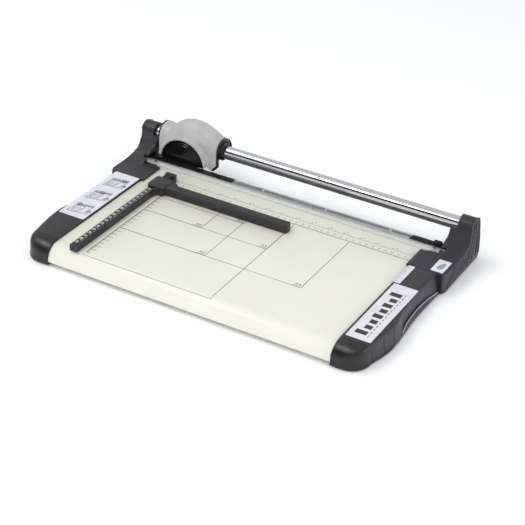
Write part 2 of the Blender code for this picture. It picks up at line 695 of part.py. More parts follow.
def make_blade(looks, body):
    centre = (GUARD_X, 0, BLADE_Z)
    front, back = BLADE_Y, BLADE_Y + BLADE_THICK
    spigot, bore = 0.0040, AXLE_R + GAP
    disc_bore = spigot + GAP
    disc_profile = [(disc_bore, front), (BLADE_R, front), (BLADE_R - 0.002, back), (disc_bore, back)]
    disc = turned(disc_profile, "Y", centre, 64)
    hub_profile = [
        (bore, front),
        (spigot, front),
        (spigot, back + GAP),
        (HUB_R, back + GAP),
        (HUB_R, HUB_BACK),
        (bore, HUB_BACK),
    ]
    moving = [
        piece("blade_disc", disc, looks["steel"], 40),
        piece("blade_hub", turned(hub_profile, "Y", centre, 32), looks["dark_trim"], 40),
    ]
    for item in moving:
        hang(item, body)


# ---------------------------------------------------------------- side guide and paper stop
def make_guide(looks):
    x0, x1, low, top = GUIDE_RIGHT - GUIDE_WIDE, GUIDE_RIGHT, TABLE_TOP + GAP, GUIDE_TOP
    section = [
        (x1, low),
        (x1, top - 0.0012),
        (x1 - 0.0012, top),
        (x0 + 0.0012, top),
        (x0, top - 0.0012),
        (x0, low + 0.0075),
        (x0 + 0.0032, low + 0.0075),
        (x0 + 0.0032, low + 0.0037),
        (x0, low + 0.0037),
        (x0, low),
    ]
    guide = piece("side_guide", prism(section, "Y", GUIDE_FRONT, GUIDE_BACK), looks["black_aluminium"])
    middle = (x0 + x1) / 2
    for name, y in GUIDE_SCREW_Y.items():
        cut(guide, helper(f"guide_hole_{name}", rod(SCREW_HOLE, 0.02, low + 0.006, "Z", (middle, y, 0), 12)))
        seat = (middle, y, TABLE_TOP - PLATE - GAP)
        screw(f"side_guide_screw_{name}", looks["steel"], "Z", low + 0.005, seat)
    lug_back = GUIDE_BACK + 0.0075
    lug = block((x0 - 0.0015, GUIDE_BACK + GAP, low), (x1 + 0.004, lug_back, top))
    end = piece("side_guide_end", lug, looks["black_plastic"])
    soften(end, 0.0008, 2)
    across, up = middle + 0.001, low + 0.0055
    end_hole = rod(SCREW_HOLE, GUIDE_BACK - 0.012, GUIDE_BACK + 0.02, "Y", (across, 0, up), 12)
    tool = helper("guide_end_hole", end_hole)
    cut(end, tool)
    cut(guide, tool)
    screw("side_guide_end_screw", looks["steel"], "Y", GUIDE_BACK - 0.010, (across, lug_back + GAP, up))


def make_stop(looks, body):
    x0, x1, low = GUIDE_RIGHT - GUIDE_WIDE, GUIDE_RIGHT, TABLE_TOP + 2 * GAP
    near, head_back = x1 + GAP, STOP_HEAD_BACK
    plan = arc((near + STOP_FILLET, STOP_FRONT - STOP_FILLET), STOP_FILLET, 180, 90, 6)
    plan += [
        (STOP_RIGHT - 0.003, STOP_FRONT),
        (STOP_RIGHT, STOP_FRONT + 0.003),
        (STOP_RIGHT, STOP_BACK - 0.003),
        (STOP_RIGHT - 0.003, STOP_BACK),
        (x1 + 0.026, STOP_BACK),
        (x1 + 0.014, head_back),
        (near, head_back),
    ]
    stop = piece("stop_arm", prism(plan, "Z", low, TABLE_TOP + 0.0125), looks["black_plastic"])
    saddle_plan = [
        (x0 - 0.0035, STOP_FRONT - 0.002),
        (x0 - 0.0015, STOP_FRONT - 0.006),
        (x1 + 0.012, STOP_FRONT - 0.006),
        (x1 + 0.014, head_back - 0.0005),
        (x0 - 0.0015, head_back - 0.0005),
        (x0 - 0.0035, head_back - 0.003),
    ]
    saddle = helper("stop_saddle", prism(saddle_plan, "Z", low + 0.0002, TABLE_TOP + 0.0135))
    tunnel = block((x0 - 0.0004, -0.1, 0.02), (x1 + GAP, 0.15, GUIDE_TOP + 0.0004))
    middle, screw_z = (STOP_FRONT + head_back) / 2, low + 0.0053
    hole = helper("stop_screw_hole", rod(0.0010, x0 - 0.01, x0 + 0.003, "X", (0, middle, screw_z), 12))
    fuse(stop, saddle)
    cut(stop, helper("stop_tunnel", tunnel), hole)
    key = block((x0 - 0.0001, middle - 0.009, low + 0.0038), (x0 + 0.0028, middle + 0.009, low + 0.0068))
    runner = piece("stop_runner", key, looks["dark_trim"])
    cut(runner, hole)
    seat = (x0 - 0.0035 - GAP, middle, screw_z)
    pin = screw("stop_screw", looks["steel"], "X", x0 + 0.0024, seat, 0.0020, 0.0008, 0.0010)
    for item in (stop, runner, pin):
        hang(item, body)


# ---------------------------------------------------------------- labels
def make_labels(looks):
    low, high = CAP_TOP + GAP, CAP_TOP + GAP + 0.0004
    labels = {
        "left_label": ((-0.2600, -0.092), (-0.2185, SEAM_Y - 0.001)),
        "right_label": ((0.2215, -0.147), (0.2570, -0.001)),
        "right_scale_label": ((0.2185, 0.002), (0.2280, SEAM_Y - 0.002)),
        "corner_label": ((0.2475, 0.0575), (0.2660, 0.0900)),
    }
    for name, ((x0, y0), (x1, y1)) in labels.items():
        piece(name, block((x0, y0, low), (x1, y1, high)), looks["label"])


# ---------------------------------------------------------------- assembly
def joint_empty(name, place):
    made = bpy.data.objects.new(name, None)
    made.location = place
    bpy.context.scene.collection.objects.link(made)
    return made


def hang(item, body):
    """Parents a piece to its joint's empty, and leaves it where it is."""
    item.parent = body
    item.matrix_parent_inverse = Matrix.Translation(body.location).inverted()


def main():
    for old in list(bpy.data.objects):
        bpy.data.objects.remove(old)
    looks = make_finishes()
    make_table(looks)
    make_rail(looks)
    for name, side in SIDES.items():
        make_cap(looks, name, side)
        make_bracket(looks, name, side)
    make_guide(looks)
    make_labels(looks)
    make_clamp(looks, joint_empty("clamp_travel", (0, CLAMP_PIN_Y, CLAMP_Z)))
    head = joint_empty("head_travel", (GUARD_X, RAIL_Y, RAIL_Z))
    make_head(looks, head)
    make_blade(looks, joint_empty("blade_spin", (GUARD_X, BLADE_Y, BLADE_Z)))
    make_stop(looks, joint_empty("stop_travel", (GUIDE_RIGHT, STOP_BACK, TABLE_TOP)))


main()
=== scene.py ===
"""Rotary paper trimmer: the finished look of a steel table with moulded end caps, a chrome rail and a
sliding cutting head. It is laid out as an add-on, and runs as a script around the packed frame.

Metres, +X along the rail to the right, +Y to the back, +Z up, with the ground at z = 0.
"""

import math

import bpy
from bpy.props import FloatProperty, FloatVectorProperty, PointerProperty
from mathutils import Matrix, Vector


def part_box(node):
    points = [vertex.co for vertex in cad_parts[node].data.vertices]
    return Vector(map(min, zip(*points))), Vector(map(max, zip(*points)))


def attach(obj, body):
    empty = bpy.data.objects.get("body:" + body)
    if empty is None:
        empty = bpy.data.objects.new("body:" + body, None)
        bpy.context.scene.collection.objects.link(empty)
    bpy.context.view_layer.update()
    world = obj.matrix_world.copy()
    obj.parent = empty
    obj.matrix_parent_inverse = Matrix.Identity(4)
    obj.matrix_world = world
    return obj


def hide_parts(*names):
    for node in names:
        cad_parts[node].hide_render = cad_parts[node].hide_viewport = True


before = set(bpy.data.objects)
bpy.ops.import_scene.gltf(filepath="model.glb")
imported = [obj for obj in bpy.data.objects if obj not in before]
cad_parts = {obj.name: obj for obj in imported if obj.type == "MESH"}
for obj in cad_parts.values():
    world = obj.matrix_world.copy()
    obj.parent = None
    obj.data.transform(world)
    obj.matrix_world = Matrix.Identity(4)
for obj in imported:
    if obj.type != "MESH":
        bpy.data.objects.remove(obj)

bl_info = {
    "name": "Rotary Paper Trimmer",
    "version": (1, 0, 0),
    "blender": (4, 5, 0),
    "location": "3D View > Sidebar > Trimmer",
    "description": "Builds the finished surfaces of a rotary paper trimmer around its packed frame",
    "category": "Mesh",
}

# ---------------------------------------------------------------- places, read from the frame
GAP = 0.0003  # between pieces that touch
TABLE_LOW, TABLE_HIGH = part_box("table_plate")
TABLE_TOP = TABLE_HIGH.z
CUT_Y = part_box("counter_blade")[1].y
PAPER_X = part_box("side_guide")[1].x  # the paper's left edge lies against the guide
RAIL_LOW, RAIL_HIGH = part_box("guide_rail")
RAIL_R = (RAIL_HIGH.z - RAIL_LOW.z) / 2
RAIL = Vector((0, RAIL_LOW.y + RAIL_R, RAIL_LOW.z + RAIL_R))
RAIL_HALF = RAIL_HIGH.x
CAP_LOW, CAP_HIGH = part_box("right_end_cap")
CAP_TOP = CAP_HIGH.z
SEAM_Y = CAP_HIGH.y + GAP
BRACKET_LOW, BRACKET_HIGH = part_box("right_rail_bracket")
BLADE_LOW, BLADE_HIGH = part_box("blade_disc")
BLADE_R = (BLADE_HIGH.z - BLADE_LOW.z) / 2
HEAD_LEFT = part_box("rail_bush_left")[0].x + 0.0018
HEAD_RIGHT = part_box("rail_bush_right")[1].x - 0.0026
HEAD_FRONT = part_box("head_shell")[0].y
HEAD_BACK = 0.1745
GUARD_LOW, GUARD_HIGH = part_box("blade_guard")
GUARD_R = (GUARD_HIGH.x - GUARD_LOW.x) / 2 / math.cos(math.asin(0.0027 / 0.0368))
GUARD_X = (GUARD_LOW.x + GUARD_HIGH.x) / 2
GUARD_Z = GUARD_HIGH.z - GUARD_R
STRIP_LOW, STRIP_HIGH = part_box("clamp_strip")
BAR_LOW, BAR_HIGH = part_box("clamp_bar")
GUIDE_LOW, GUIDE_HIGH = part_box("side_guide")
SIDES = {"left": -1, "right": 1}
NOSE_LINE = -0.1535  # where the caps' glossy front starts
INK = 0.00006  # thickness of print
MILLIMETRE, CENTIMETRE, INCH = 0.001, 0.010, 0.0254
CAP_WALL = 0.0022
SHELL_WALL = 0.0024
ARM_X = 0.2405  # inner face of the bracket's arm
REFLECTION_END = -0.1000  # right end of the dark strip on the clamp bar, a painted reflection of the head


# ---------------------------------------------------------------- what a user may change
class TrimmerSizes(bpy.types.PropertyGroup):
    roll_radius: FloatProperty(
        name="Front roll", description="Radius of the table's rolled front edge",
        default=TABLE_LOW.z + 0.0145, min=0.01, unit="LENGTH",
    )
    sheet: FloatProperty(
        name="Sheet", description="Thickness of the table's steel", default=0.0015, min=0.0005, unit="LENGTH"
    )
    line: FloatProperty(
        name="Printed line", description="Width of the printed outlines", default=0.0009, unit="LENGTH"
    )
    cap_edge: FloatProperty(
        name="Cap edge", description="Rounding of the end caps' top edge", default=0.0035, unit="LENGTH"
    )
    dome_radius: FloatProperty(
        name="Palm dome", description="Radius of the head's palm dome", default=0.0515, unit="LENGTH"
    )
    guard_ring: FloatProperty(
        name="Guard ring", description="Width of the raised ring round the blade guard", default=0.0054,
        unit="LENGTH",
    )


class TrimmerColours(bpy.types.PropertyGroup):
    cream: FloatVectorProperty(
        name="Table", description="Enamel of the table", subtype="COLOR", default=(0.745, 0.735, 0.64), size=3
    )
    black: FloatVectorProperty(
        name="Mouldings", description="Plastic of the caps and brackets", subtype="COLOR",
        default=(0.019, 0.016, 0.019), size=3,
    )
    grey: FloatVectorProperty(
        name="Head", description="Plastic of the head's shell", subtype="COLOR", default=(0.42, 0.415, 0.41), size=3
    )
    ink: FloatVectorProperty(
        name="Print", description="Ink of the scales", subtype="COLOR", default=(0.09, 0.09, 0.075), size=3
    )
    label: FloatVectorProperty(
        name="Labels", description="Film of the labels", subtype="COLOR", default=(0.68, 0.67, 0.73), size=3
    )


def sizes():
    return bpy.context.scene.trimmer_sizes


def colours():
    return bpy.context.scene.trimmer_colours


# ---------------------------------------------------------------- finishes
LOOKS = {}


def new_look(name, colour, roughness, metallic=0.0, **sockets):
    """A plain surface, with any further shader sockets given by name."""
    look = bpy.data.materials.new(name)
    look.use_nodes = True
    shader = look.node_tree.nodes["Principled BSDF"]
    shader.inputs["Base Color"].default_value = (*colour, 1.0)
    shader.inputs["Roughness"].default_value = roughness
    shader.inputs["Metallic"].default_value = metallic
    for socket, value in sockets.items():
        shader.inputs[socket.replace("_", " ")].default_value = value
    LOOKS[name] = look
    return look


def noise(look, scale, detail=2.0, stretch=(1, 1, 1)):
    """Noise over the piece, in features per metre, stretched along an axis where one number is small."""
    nodes, links = look.node_tree.nodes, look.node_tree.links
    place = nodes.new("ShaderNodeTexCoord")
    mapping = nodes.new("ShaderNodeMapping")
    mapping.inputs["Scale"].default_value = stretch
    texture = nodes.new("ShaderNodeTexNoise")
    texture.inputs["Scale"].default_value = scale
    texture.inputs["Detail"].default_value = detail
    links.new(place.outputs["Object"], mapping.inputs["Vector"])
    links.new(mapping.outputs["Vector"], texture.inputs["Vector"])
    return texture.outputs["Fac"]


def relief(look, height, depth, strength=1.0):
    """Raises the surface by a texture, and keeps any relief it has already."""
    nodes, links = look.node_tree.nodes, look.node_tree.links
    shader = nodes["Principled BSDF"]
    bump = nodes.new("ShaderNodeBump")
    bump.inputs["Distance"].default_value = depth
    bump.inputs["Strength"].default_value = strength
    links.new(height, bump.inputs["Height"])
    if shader.inputs["Normal"].is_linked:
        links.new(shader.inputs["Normal"].links[0].from_socket, bump.inputs["Normal"])
    links.new(bump.outputs["Normal"], shader.inputs["Normal"])


def spread(look, driver, socket, low, high, start=0.3, end=0.7):
    """Lets a texture carry a socket from one value or colour to another."""
    nodes, links = look.node_tree.nodes, look.node_tree.links
    shader = nodes["Principled BSDF"]
    if isinstance(low, (int, float)):
        span = nodes.new("ShaderNodeMapRange")
        span.inputs["From Min"].default_value = start
        span.inputs["From Max"].default_value = end
        span.inputs["To Min"].default_value = low
        span.inputs["To Max"].default_value = high
        links.new(driver, span.inputs["Value"])
        links.new(span.outputs["Result"], shader.inputs[socket])
        return
    ramp = nodes.new("ShaderNodeValToRGB")
    ramp.color_ramp.elements[0].position = start
    ramp.color_ramp.elements[1].position = end
    ramp.color_ramp.elements[0].color = (*low, 1.0)
    ramp.color_ramp.elements[1].color = (*high, 1.0)
    links.new(driver, ramp.inputs["Fac"])
    links.new(ramp.outputs["Color"], shader.inputs[socket])


def shade(colour, factor):
    return tuple(min(1.0, c * factor) for c in colour)


def make_enamel():
    cream = tuple(colours().cream)
    look = new_look("cream_enamel", cream, 0.38, Coat_Weight=0.15, Coat_Roughness=0.2)
    spread(look, noise(look, 9, 3), "Base Color", shade(cream, 0.975), shade(cream, 1.02))
    spread(look, noise(look, 60, 4), "Roughness", 0.33, 0.43)
    relief(look, noise(look, 700, 2), 0.00004, 0.35)


def make_moulding(name, colour, roughness, grain=2200, depth=0.00006, shine=0.5):
    """Moulded plastic with a fine spark-eroded grain."""
    look = new_look(name, colour, roughness, Specular_IOR_Level=shine)
    spread(look, noise(look, 35, 4), "Base Color", shade(colour, 0.88), shade(colour, 1.15))
    spread(look, noise(look, 180, 4), "Roughness", roughness - 0.05, roughness + 0.07)
    relief(look, noise(look, grain, 3), depth, 0.5)


def make_metal(name, colour, roughness, stretch, depth=0.00002, scale=900):
    """Metal with fine lines left by its grinding or drawing."""
    look = new_look(name, colour, roughness, 1.0)
    lines = noise(look, scale, 3, stretch)
    spread(look, lines, "Roughness", roughness * 0.8, roughness * 1.35)
    relief(look, lines, depth, 0.4)
    spread(look, noise(look, 40, 3), "Base Color", shade(colour, 0.94), shade(colour, 1.04))


def make_finishes():
    black, grey = tuple(colours().black), tuple(colours().grey)
    make_enamel()
    make_moulding("black_plastic", black, 0.40)
    make_moulding("gloss_plastic", shade(black, 0.40), 0.31, 1500, 0.00002)
    # the light grey below is a painted highlight for the caps' ledge lip, standing in for the line of light along
    # that edge
    make_moulding("ledge_highlight_paint", (0.30, 0.30, 0.31), 0.30, 1500, 0.00002)
    make_moulding("guard_gloss", (0.004, 0.004, 0.005), 0.13, 1500, 0.000004, 0.30)
    make_moulding("guide_plastic", shade(black, 0.75), 0.36, 2600, 0.00004)
    make_moulding("dark_trim", (0.010, 0.010, 0.011), 0.26, 1500, 0.00001, 0.35)
    make_moulding("grey_plastic", grey, 0.42, 2600, 0.00003)
    make_metal("chrome", (0.64, 0.64, 0.65), 0.05, (0.02, 1, 1), 0.0000003, 400)
    make_metal("polished_bar", (0.60, 0.60, 0.62), 0.10, (0.01, 1, 1), 0.000001, 500)
    make_metal("bright_steel", (0.62, 0.62, 0.63), 0.24, (0.05, 1, 1))
    make_metal("blade_steel", (0.70, 0.71, 0.72), 0.16, (1, 1, 1), 0.00001, 1500)
    make_metal("black_aluminium", (0.05, 0.048, 0.05), 0.36, (0.03, 1, 1))
    make_moulding("black_steel", (0.025, 0.025, 0.025), 0.45, 900, 0.00003)
    make_moulding("rubber", (0.022, 0.022, 0.022), 0.82, 1600, 0.00012)
    clear = new_look("clear_acrylic", (0.86, 0.89, 0.89), 0.04, Alpha=0.34, IOR=1.49, Specular_IOR_Level=0.9)
    relief(clear, noise(clear, 120, 2), 0.00001, 0.2)
    label = tuple(colours().label)
    film = new_look("label_film", label, 0.38, Coat_Weight=0.25, Coat_Roughness=0.15)
    spread(film, noise(film, 50, 3), "Base Color", shade(label, 0.96), shade(label, 1.03))
    relief(film, noise(film, 1200, 2), 0.00001, 0.3)
    ink = tuple(colours().ink)
    print_ink = new_look("print_ink", ink, 0.5)
    spread(print_ink, noise(print_ink, 1800, 3), "Base Color", shade(ink, 0.7), shade(ink, 1.5))
    for name, colour in (("white_ink", (0.88, 0.87, 0.84)), ("pale_ink", (0.16, 0.17, 0.18)),
                         ("leaf_ink", (0.22, 0.33, 0.28)), ("bold_ink", (0.025, 0.024, 0.026))):
        look = new_look(name, colour, 0.45)
        spread(look, noise(look, 1500, 3), "Base Color", shade(colour, 0.8), shade(colour, 1.1))


# ---------------------------------------------------------------- shaping
AXES = {"X": lambda a, b, t: (t, a, b), "Y": lambda a, b, t: (a, t, b), "Z": lambda a, b, t: (a, b, t)}


def pick(*pieces):
    """Leaves edit mode and selects only these, the first of them active."""
    if bpy.context.object and bpy.context.object.mode != "OBJECT":
        bpy.ops.object.mode_set(mode="OBJECT")
    bpy.ops.object.select_all(action="DESELECT")
    for made in pieces:
        made.select_set(True)
    if pieces:
        bpy.context.view_layer.objects.active = pieces[0]


def edit(*steps):
    """Runs edit-mode steps on everything in the active piece."""
    bpy.ops.object.mode_set(mode="EDIT")
    for step in steps:
        bpy.ops.mesh.select_all(action="SELECT")
        step()
    bpy.ops.object.mode_set(mode="OBJECT")


def outward():
    bpy.ops.mesh.normals_make_consistent(inside=False)


def merge():
    bpy.ops.mesh.remove_doubles(threshold=0.000002)


def close_ends():
    """Fills each open loop of edges in the active piece."""
    bpy.ops.object.mode_set(mode="EDIT")
    bpy.ops.mesh.select_all(action="DESELECT")
    bpy.ops.mesh.select_non_manifold()
    bpy.ops.mesh.fill_holes(sides=0)
    bpy.ops.object.mode_set(mode="OBJECT")


def part_of_one(value):
    """The value, held between 0 and 1."""
    return min(1.0, max(0.0, value))


def eased(share):
    return share * share * (3 - 2 * share)


def between(path, place):
    """The second number of a path of pairs, at a place along its first."""
    for (a0, b0), (a1, b1) in zip(path, path[1:]):
        if place <= a1:
            return b0 + (b1 - b0) * max(0.0, place - a0) / (a1 - a0)
    return path[-1][1]


def apply(made, kind, **settings):
    """Adds a modifier and applies it."""
    pick(made)
    step = made.modifiers.new(kind.lower(), kind)
    for key, value in settings.items():
        setattr(step, key, value)
    bpy.ops.object.modifier_apply(modifier=step.name)
    return made


def round_edges(made, width, segments=3, angle=35):
    return apply(made, "BEVEL", width=width, segments=segments, limit_method="ANGLE",
                 angle_limit=math.radians(angle), harden_normals=False)


def carve(made, *tools, operation="DIFFERENCE"):
    for tool in tools:
        apply(made, "BOOLEAN", object=tool, operation=operation, solver="EXACT")
        bpy.data.objects.remove(tool)
    return made


def block(name, low, high):
    pick()
    middle = [(a + b) / 2 for a, b in zip(low, high)]
    size = [b - a for a, b in zip(low, high)]
    bpy.ops.mesh.primitive_cube_add(size=1, location=middle, scale=size)
    bpy.ops.object.transform_apply(location=True, rotation=True, scale=True)
    made = bpy.context.object
    made.name = name
    return made


def prism(name, outline, axis, low, high):
    """An outline pushed along an axis. The outline's two numbers are the other two axes in order."""
    pick()
    bpy.ops.mesh.primitive_circle_add(vertices=len(outline), radius=1, fill_type="NGON", location=(0, 0, 0))
    made = bpy.context.object
    made.name = name
    for vert, (a, b) in zip(made.data.vertices, outline):
        vert.co = AXES[axis](a, b, low)
    push = {"value": AXES[axis](0, 0, high - low)}
    edit(lambda: bpy.ops.mesh.extrude_region_move(TRANSFORM_OT_translate=push), outward)
    return made


def turned(name, profile, axis, centre, steps=64, start=0.0, angle=360.0):
    """A closed profile of (radius, distance along the axis), spun round the axis through centre."""
    along = {"X": Vector((1, 0, 0)), "Y": Vector((0, 1, 0)), "Z": Vector((0, 0, 1))}[axis]
    out = {"X": Vector((0, 0, 1)), "Y": Vector((1, 0, 0)), "Z": Vector((1, 0, 0))}[axis]
    out = Matrix.Rotation(math.radians(start), 3, along) @ out
    pick()
    bpy.ops.mesh.primitive_circle_add(vertices=len(profile), radius=1, fill_type="NOTHING", location=(0, 0, 0))
    made = bpy.context.object
    made.name = name
    for vert, (radius, distance) in zip(made.data.vertices, profile):
        vert.co = Vector(centre) + out * radius + along * distance

    def spin():
        bpy.ops.mesh.spin(steps=steps, angle=math.radians(angle), center=centre, axis=along)

    edit(spin, merge, lambda: bpy.ops.mesh.delete_loose(use_verts=True, use_edges=True, use_faces=False))
    if abs(angle) < 360:
        close_ends()
    edit(outward)
    return made


def skin(name, rows, closed=True):
    """A surface through rows of points. Closed rows are joined round, and the two ends filled."""
    across = len(rows[0])
    pick()
    bpy.ops.mesh.primitive_grid_add(x_subdivisions=across - 1, y_subdivisions=len(rows) - 1, size=1)
    made = bpy.context.object
    made.name = name
    for i, vert in enumerate(made.data.vertices):
        vert.co = rows[i // across][i % across]
    edit(merge)
    if closed:
        close_ends()
    edit(outward)
    return made


def arc(centre, radius, start, end, steps):
    """Points on an arc, in degrees, both ends included."""
    turns = [math.radians(start + (end - start) * i / steps) for i in range(steps + 1)]
    return [(centre[0] + radius * math.cos(a), centre[1] + radius * math.sin(a)) for a in turns]


def smooth_line(points, per_span):
    """A smooth curve through the points, by the Catmull-Rom formula."""
    line = []
    for i in range(len(points) - 1):
        p = [Vector(points[min(max(k, 0), len(points) - 1)]) for k in (i - 1, i, i + 1, i + 2)]
        for s in range(per_span):
            t = s / per_span
            bend = (2 * p[0] - 5 * p[1] + 4 * p[2] - p[3]) * t * t + (3 * p[1] - p[0] - 3 * p[2] + p[3]) * t**3
            line.append(0.5 * (2 * p[1] + (p[2] - p[0]) * t + bend))
    line.append(Vector(points[-1]))
    return [tuple(v) for v in line]


def bead(name, points, radius, sides=3):
    """A round bead along a line of points."""
    pick()
    bpy.ops.curve.primitive_nurbs_path_add(location=(0, 0, 0))
    made = bpy.context.object
    made.name = name
    curve = made.data
    curve.splines.clear()
    line = curve.splines.new("POLY")
    line.points.add(len(points) - 1)
    for point, place in zip(line.points, points):
        point.co = (*place, 1)
    curve.bevel_depth = radius
    curve.bevel_resolution = sides
    curve.use_fill_caps = True
    bpy.ops.object.convert(target="MESH")
    return bpy.context.object


def lettering(text, size, place, turn=0.0, resolution=2):
    """Printed characters, centred on a place and lying flat."""
    pick()
    bpy.ops.object.text_add(location=(0, 0, 0))
    made = bpy.context.object
    made.data.body = text
    made.data.size = size
    made.data.align_x = "CENTER"
    made.data.align_y = "CENTER"
    made.data.extrude = INK / 2
    made.data.resolution_u = resolution
    bpy.ops.object.convert(target="MESH")
    made = bpy.context.object
    made.data.transform(Matrix.Translation(place) @ Matrix.Rotation(math.radians(turn), 4, "Z"))
    return made


def row(name, low, size, step, count):
    """Equal blocks in a row: the first one's low corner, its size, the step and how many."""
    made = block(name, low, Vector(low) + Vector(size))
    return apply(made, "ARRAY", count=count, use_relative_offset=False, use_constant_offset=True,
                 constant_offset_displace=step)


def join(name, pieces):
    pick(*pieces)
    if len(pieces) > 1:
        bpy.ops.object.join()
    made = bpy.context.object
    made.name = name
    return made


def mirrored(made, name):
    """A copy on the other side of the middle plane, with its own mesh."""
    pick(made)
    bpy.ops.object.duplicate()
    copy = bpy.context.object
    copy.name = name
    for vert in copy.data.vertices:
        vert.co.x = -vert.co.x
    edit(outward)
    return copy


def pair(right, left_name):
    return {"right": right, "left": mirrored(right, left_name)}


def copy_of(node, name):
    """A merged copy of a packed node, with its flat faces whole again."""
    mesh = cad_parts[node].data.copy()
    made = bpy.data.objects.new(name, mesh)
    bpy.context.scene.collection.objects.link(made)
    pick(made)
    if mesh.has_custom_normals:
        bpy.ops.mesh.customdata_custom_splitnormals_clear()
    edit(merge, lambda: bpy.ops.mesh.dissolve_limited(angle_limit=math.radians(2)), outward)
    return made


def complete(made, body, slot, look, *nodes, angle=32):
    """Shades a finished piece, gives it its finish and lets it ride on its body."""
    pick(made)
    made.data.name = made.name
    edit(merge)
    bpy.ops.object.shade_smooth_by_angle(angle=math.radians(angle))
    made.data.materials.clear()
    made.data.materials.append(LOOKS[look])
    if nodes:
        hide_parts(*nodes)
    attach(made, body)
    return made


def add_look(made, look, chosen):
    """Gives the faces that a test picks another finish."""
    made.data.materials.append(LOOKS[look])
    index = len(made.data.materials) - 1
    for face in made.data.polygons:
        if chosen(face):
            face.material_index = index


# ---------------------------------------------------------------- table and its print
def make_table():
    roll, sheet = sizes().roll_radius, sizes().sheet
    middle = (TABLE_LOW.y + roll, TABLE_TOP - roll)
    rear, lip = TABLE_HIGH.y, TABLE_LOW.z
    outline = [(rear, TABLE_TOP)] + arc(middle, roll, 90, 180, 28)
    outline += [(TABLE_LOW.y, lip), (TABLE_LOW.y + 0.014, lip), (TABLE_LOW.y + 0.014, lip + sheet)]
    outline += [(TABLE_LOW.y + sheet, lip + sheet)] + arc(middle, roll - sheet, 180, 90, 28)
    outline += [(rear, TABLE_TOP - sheet)]
    table = prism("table_top", outline, "X", TABLE_LOW.x, TABLE_HIGH.x)
    round_edges(table, 0.0003, 2, 50)
    complete(table, "base", "cream_enamel", "cream_enamel", "table_plate")


def on_table(across, depth):
    """A place on the table, from the paper's rear left corner."""
    return Vector((PAPER_X + across, CUT_Y - depth, TABLE_TOP + INK * 0.2))


def rule(name, start, end, width):
    """A printed line between two places, along x or y."""
    half = width / 2
    low = Vector((min(start.x, end.x) - half, min(start.y, end.y) - half, start.z))
    return block(name, low, (max(start.x, end.x) + half, max(start.y, end.y) + half, start.z + INK))


def sheet_outlines():
    """The corners of common sheets, upright and on their side, each with its size at the corner."""
    width = sizes().line
    roll_start = CUT_Y - (TABLE_LOW.y + sizes().roll_radius)
    lines = []
    for size, name in (((0.105, 0.148), "A6"), ((0.148, 0.210), "A5"), ((0.210, 0.297), "A4")):
        for across, depth in (size, size[::-1]):
            flat = min(depth, roll_start)
            lines.append(rule("line", on_table(across, 0.068), on_table(across, flat), width))
            if depth <= roll_start:
                lines.append(rule("line", on_table(0.012, depth), on_table(across, depth), width))
                label = on_table(across - 0.0075, depth - 0.0058)
                lines.append(lettering(name, 0.0084, label))
                tag = on_table(across - 0.0145, depth - 0.0015)
                lines.append(rule("tag", tag, tag + Vector((0.0130, 0, 0)), width * 0.6))
    return lines


def front_line():
    """The longest sheet's front edge, which the print carries a little way over the roll."""
    roll = sizes().roll_radius
    middle_y, middle_z = TABLE_LOW.y + roll, TABLE_TOP - roll
    y = CUT_Y - 0.297
    top = middle_z + math.sqrt(roll**2 - (y - middle_y) ** 2)
    low = Vector((PAPER_X + 0.006, y - sizes().line / 2, top - 0.0003))
    line = block("front_line", low, (PAPER_X + 0.210, y + sizes().line / 2, top + INK))
    half, sunk = 0.0003, -0.0002
    side_rows = []
    for i in range(9):
        a = math.asin(0.007 / roll) * i / 8
        y, z = middle_y - roll * math.sin(a), middle_z + roll * math.cos(a)
        loop = ((-half, sunk), (half, sunk), (half, INK), (-half, INK), (-half, sunk))
        side_rows.append([(PAPER_X + 0.210 + dx, y, z + dz) for dx, dz in loop])
    return [line, skin("side_line", side_rows)]


def rear_rulers():
    """Two rulers along the clamp: centimetres in front, inches with dots behind."""
    lines = []
    end = 0.394
    lines.append(rule("line", on_table(0, 0.0655), on_table(end, 0.0655), 0.0008))
    lines.append(rule("line", on_table(0, 0.0515), on_table(end, 0.0515), 0.0004))
    for depth, size, step, count, wide in (
        (0.0655, 0.0016, MILLIMETRE, 391, 0.00022), (0.0655, 0.0026, CENTIMETRE / 2, 79, 0.0003),
        (0.0655, 0.0040, CENTIMETRE, 40, 0.0004), (0.0515, 0.0018, INCH / 8, 124, 0.00025),
        (0.0515, 0.0032, INCH / 2, 31, 0.0004),
    ):
        lines.append(row("ticks", on_table(-wide / 2, depth), (wide, size, INK), (step, 0, 0), count))
    for i in range(1, 39):
        lines.append(lettering(str(i), 0.0040, on_table(CENTIMETRE * i, 0.0590)))
    dots = []
    for i in range(0, 16):
        pick()
        bpy.ops.mesh.primitive_cylinder_add(
            vertices=16, radius=0.0009, depth=INK, location=on_table(0.0011 + INCH * i, 0.0478)
        )
        bpy.ops.object.transform_apply(location=True)
        dots.append(bpy.context.object)
        if i:
            lines.append(lettering(str(i), 0.0042, on_table(INCH * i + 0.0045, 0.0455)))
    return lines + dots


def side_scale():
    """The scale beside the guide, in centimetres from the cut."""
    base, front = 0.009, 0.290
    lines = [rule("line", on_table(base, 0.097), on_table(base, front), 0.0007)]
    for size, step, count, wide in (
        (0.0016, MILLIMETRE, 194, 0.0003), (0.0032, CENTIMETRE / 2, 39, 0.0006), (0.0050, CENTIMETRE, 20, 0.0011),
    ):
        low = on_table(base, front) + Vector((0, -wide / 2, 0))
        lines.append(row("ticks", low, (size, wide, INK), (0, step, 0), count))
    for i in range(10, 29):
        lines.append(lettering(str(i), 0.0036, on_table(base + 0.0072, CENTIMETRE * i)))
    return lines


def make_print():
    ink = join("table_print", sheet_outlines() + front_line() + rear_rulers() + side_scale())
    complete(ink, "base", "cream_enamel", "print_ink")


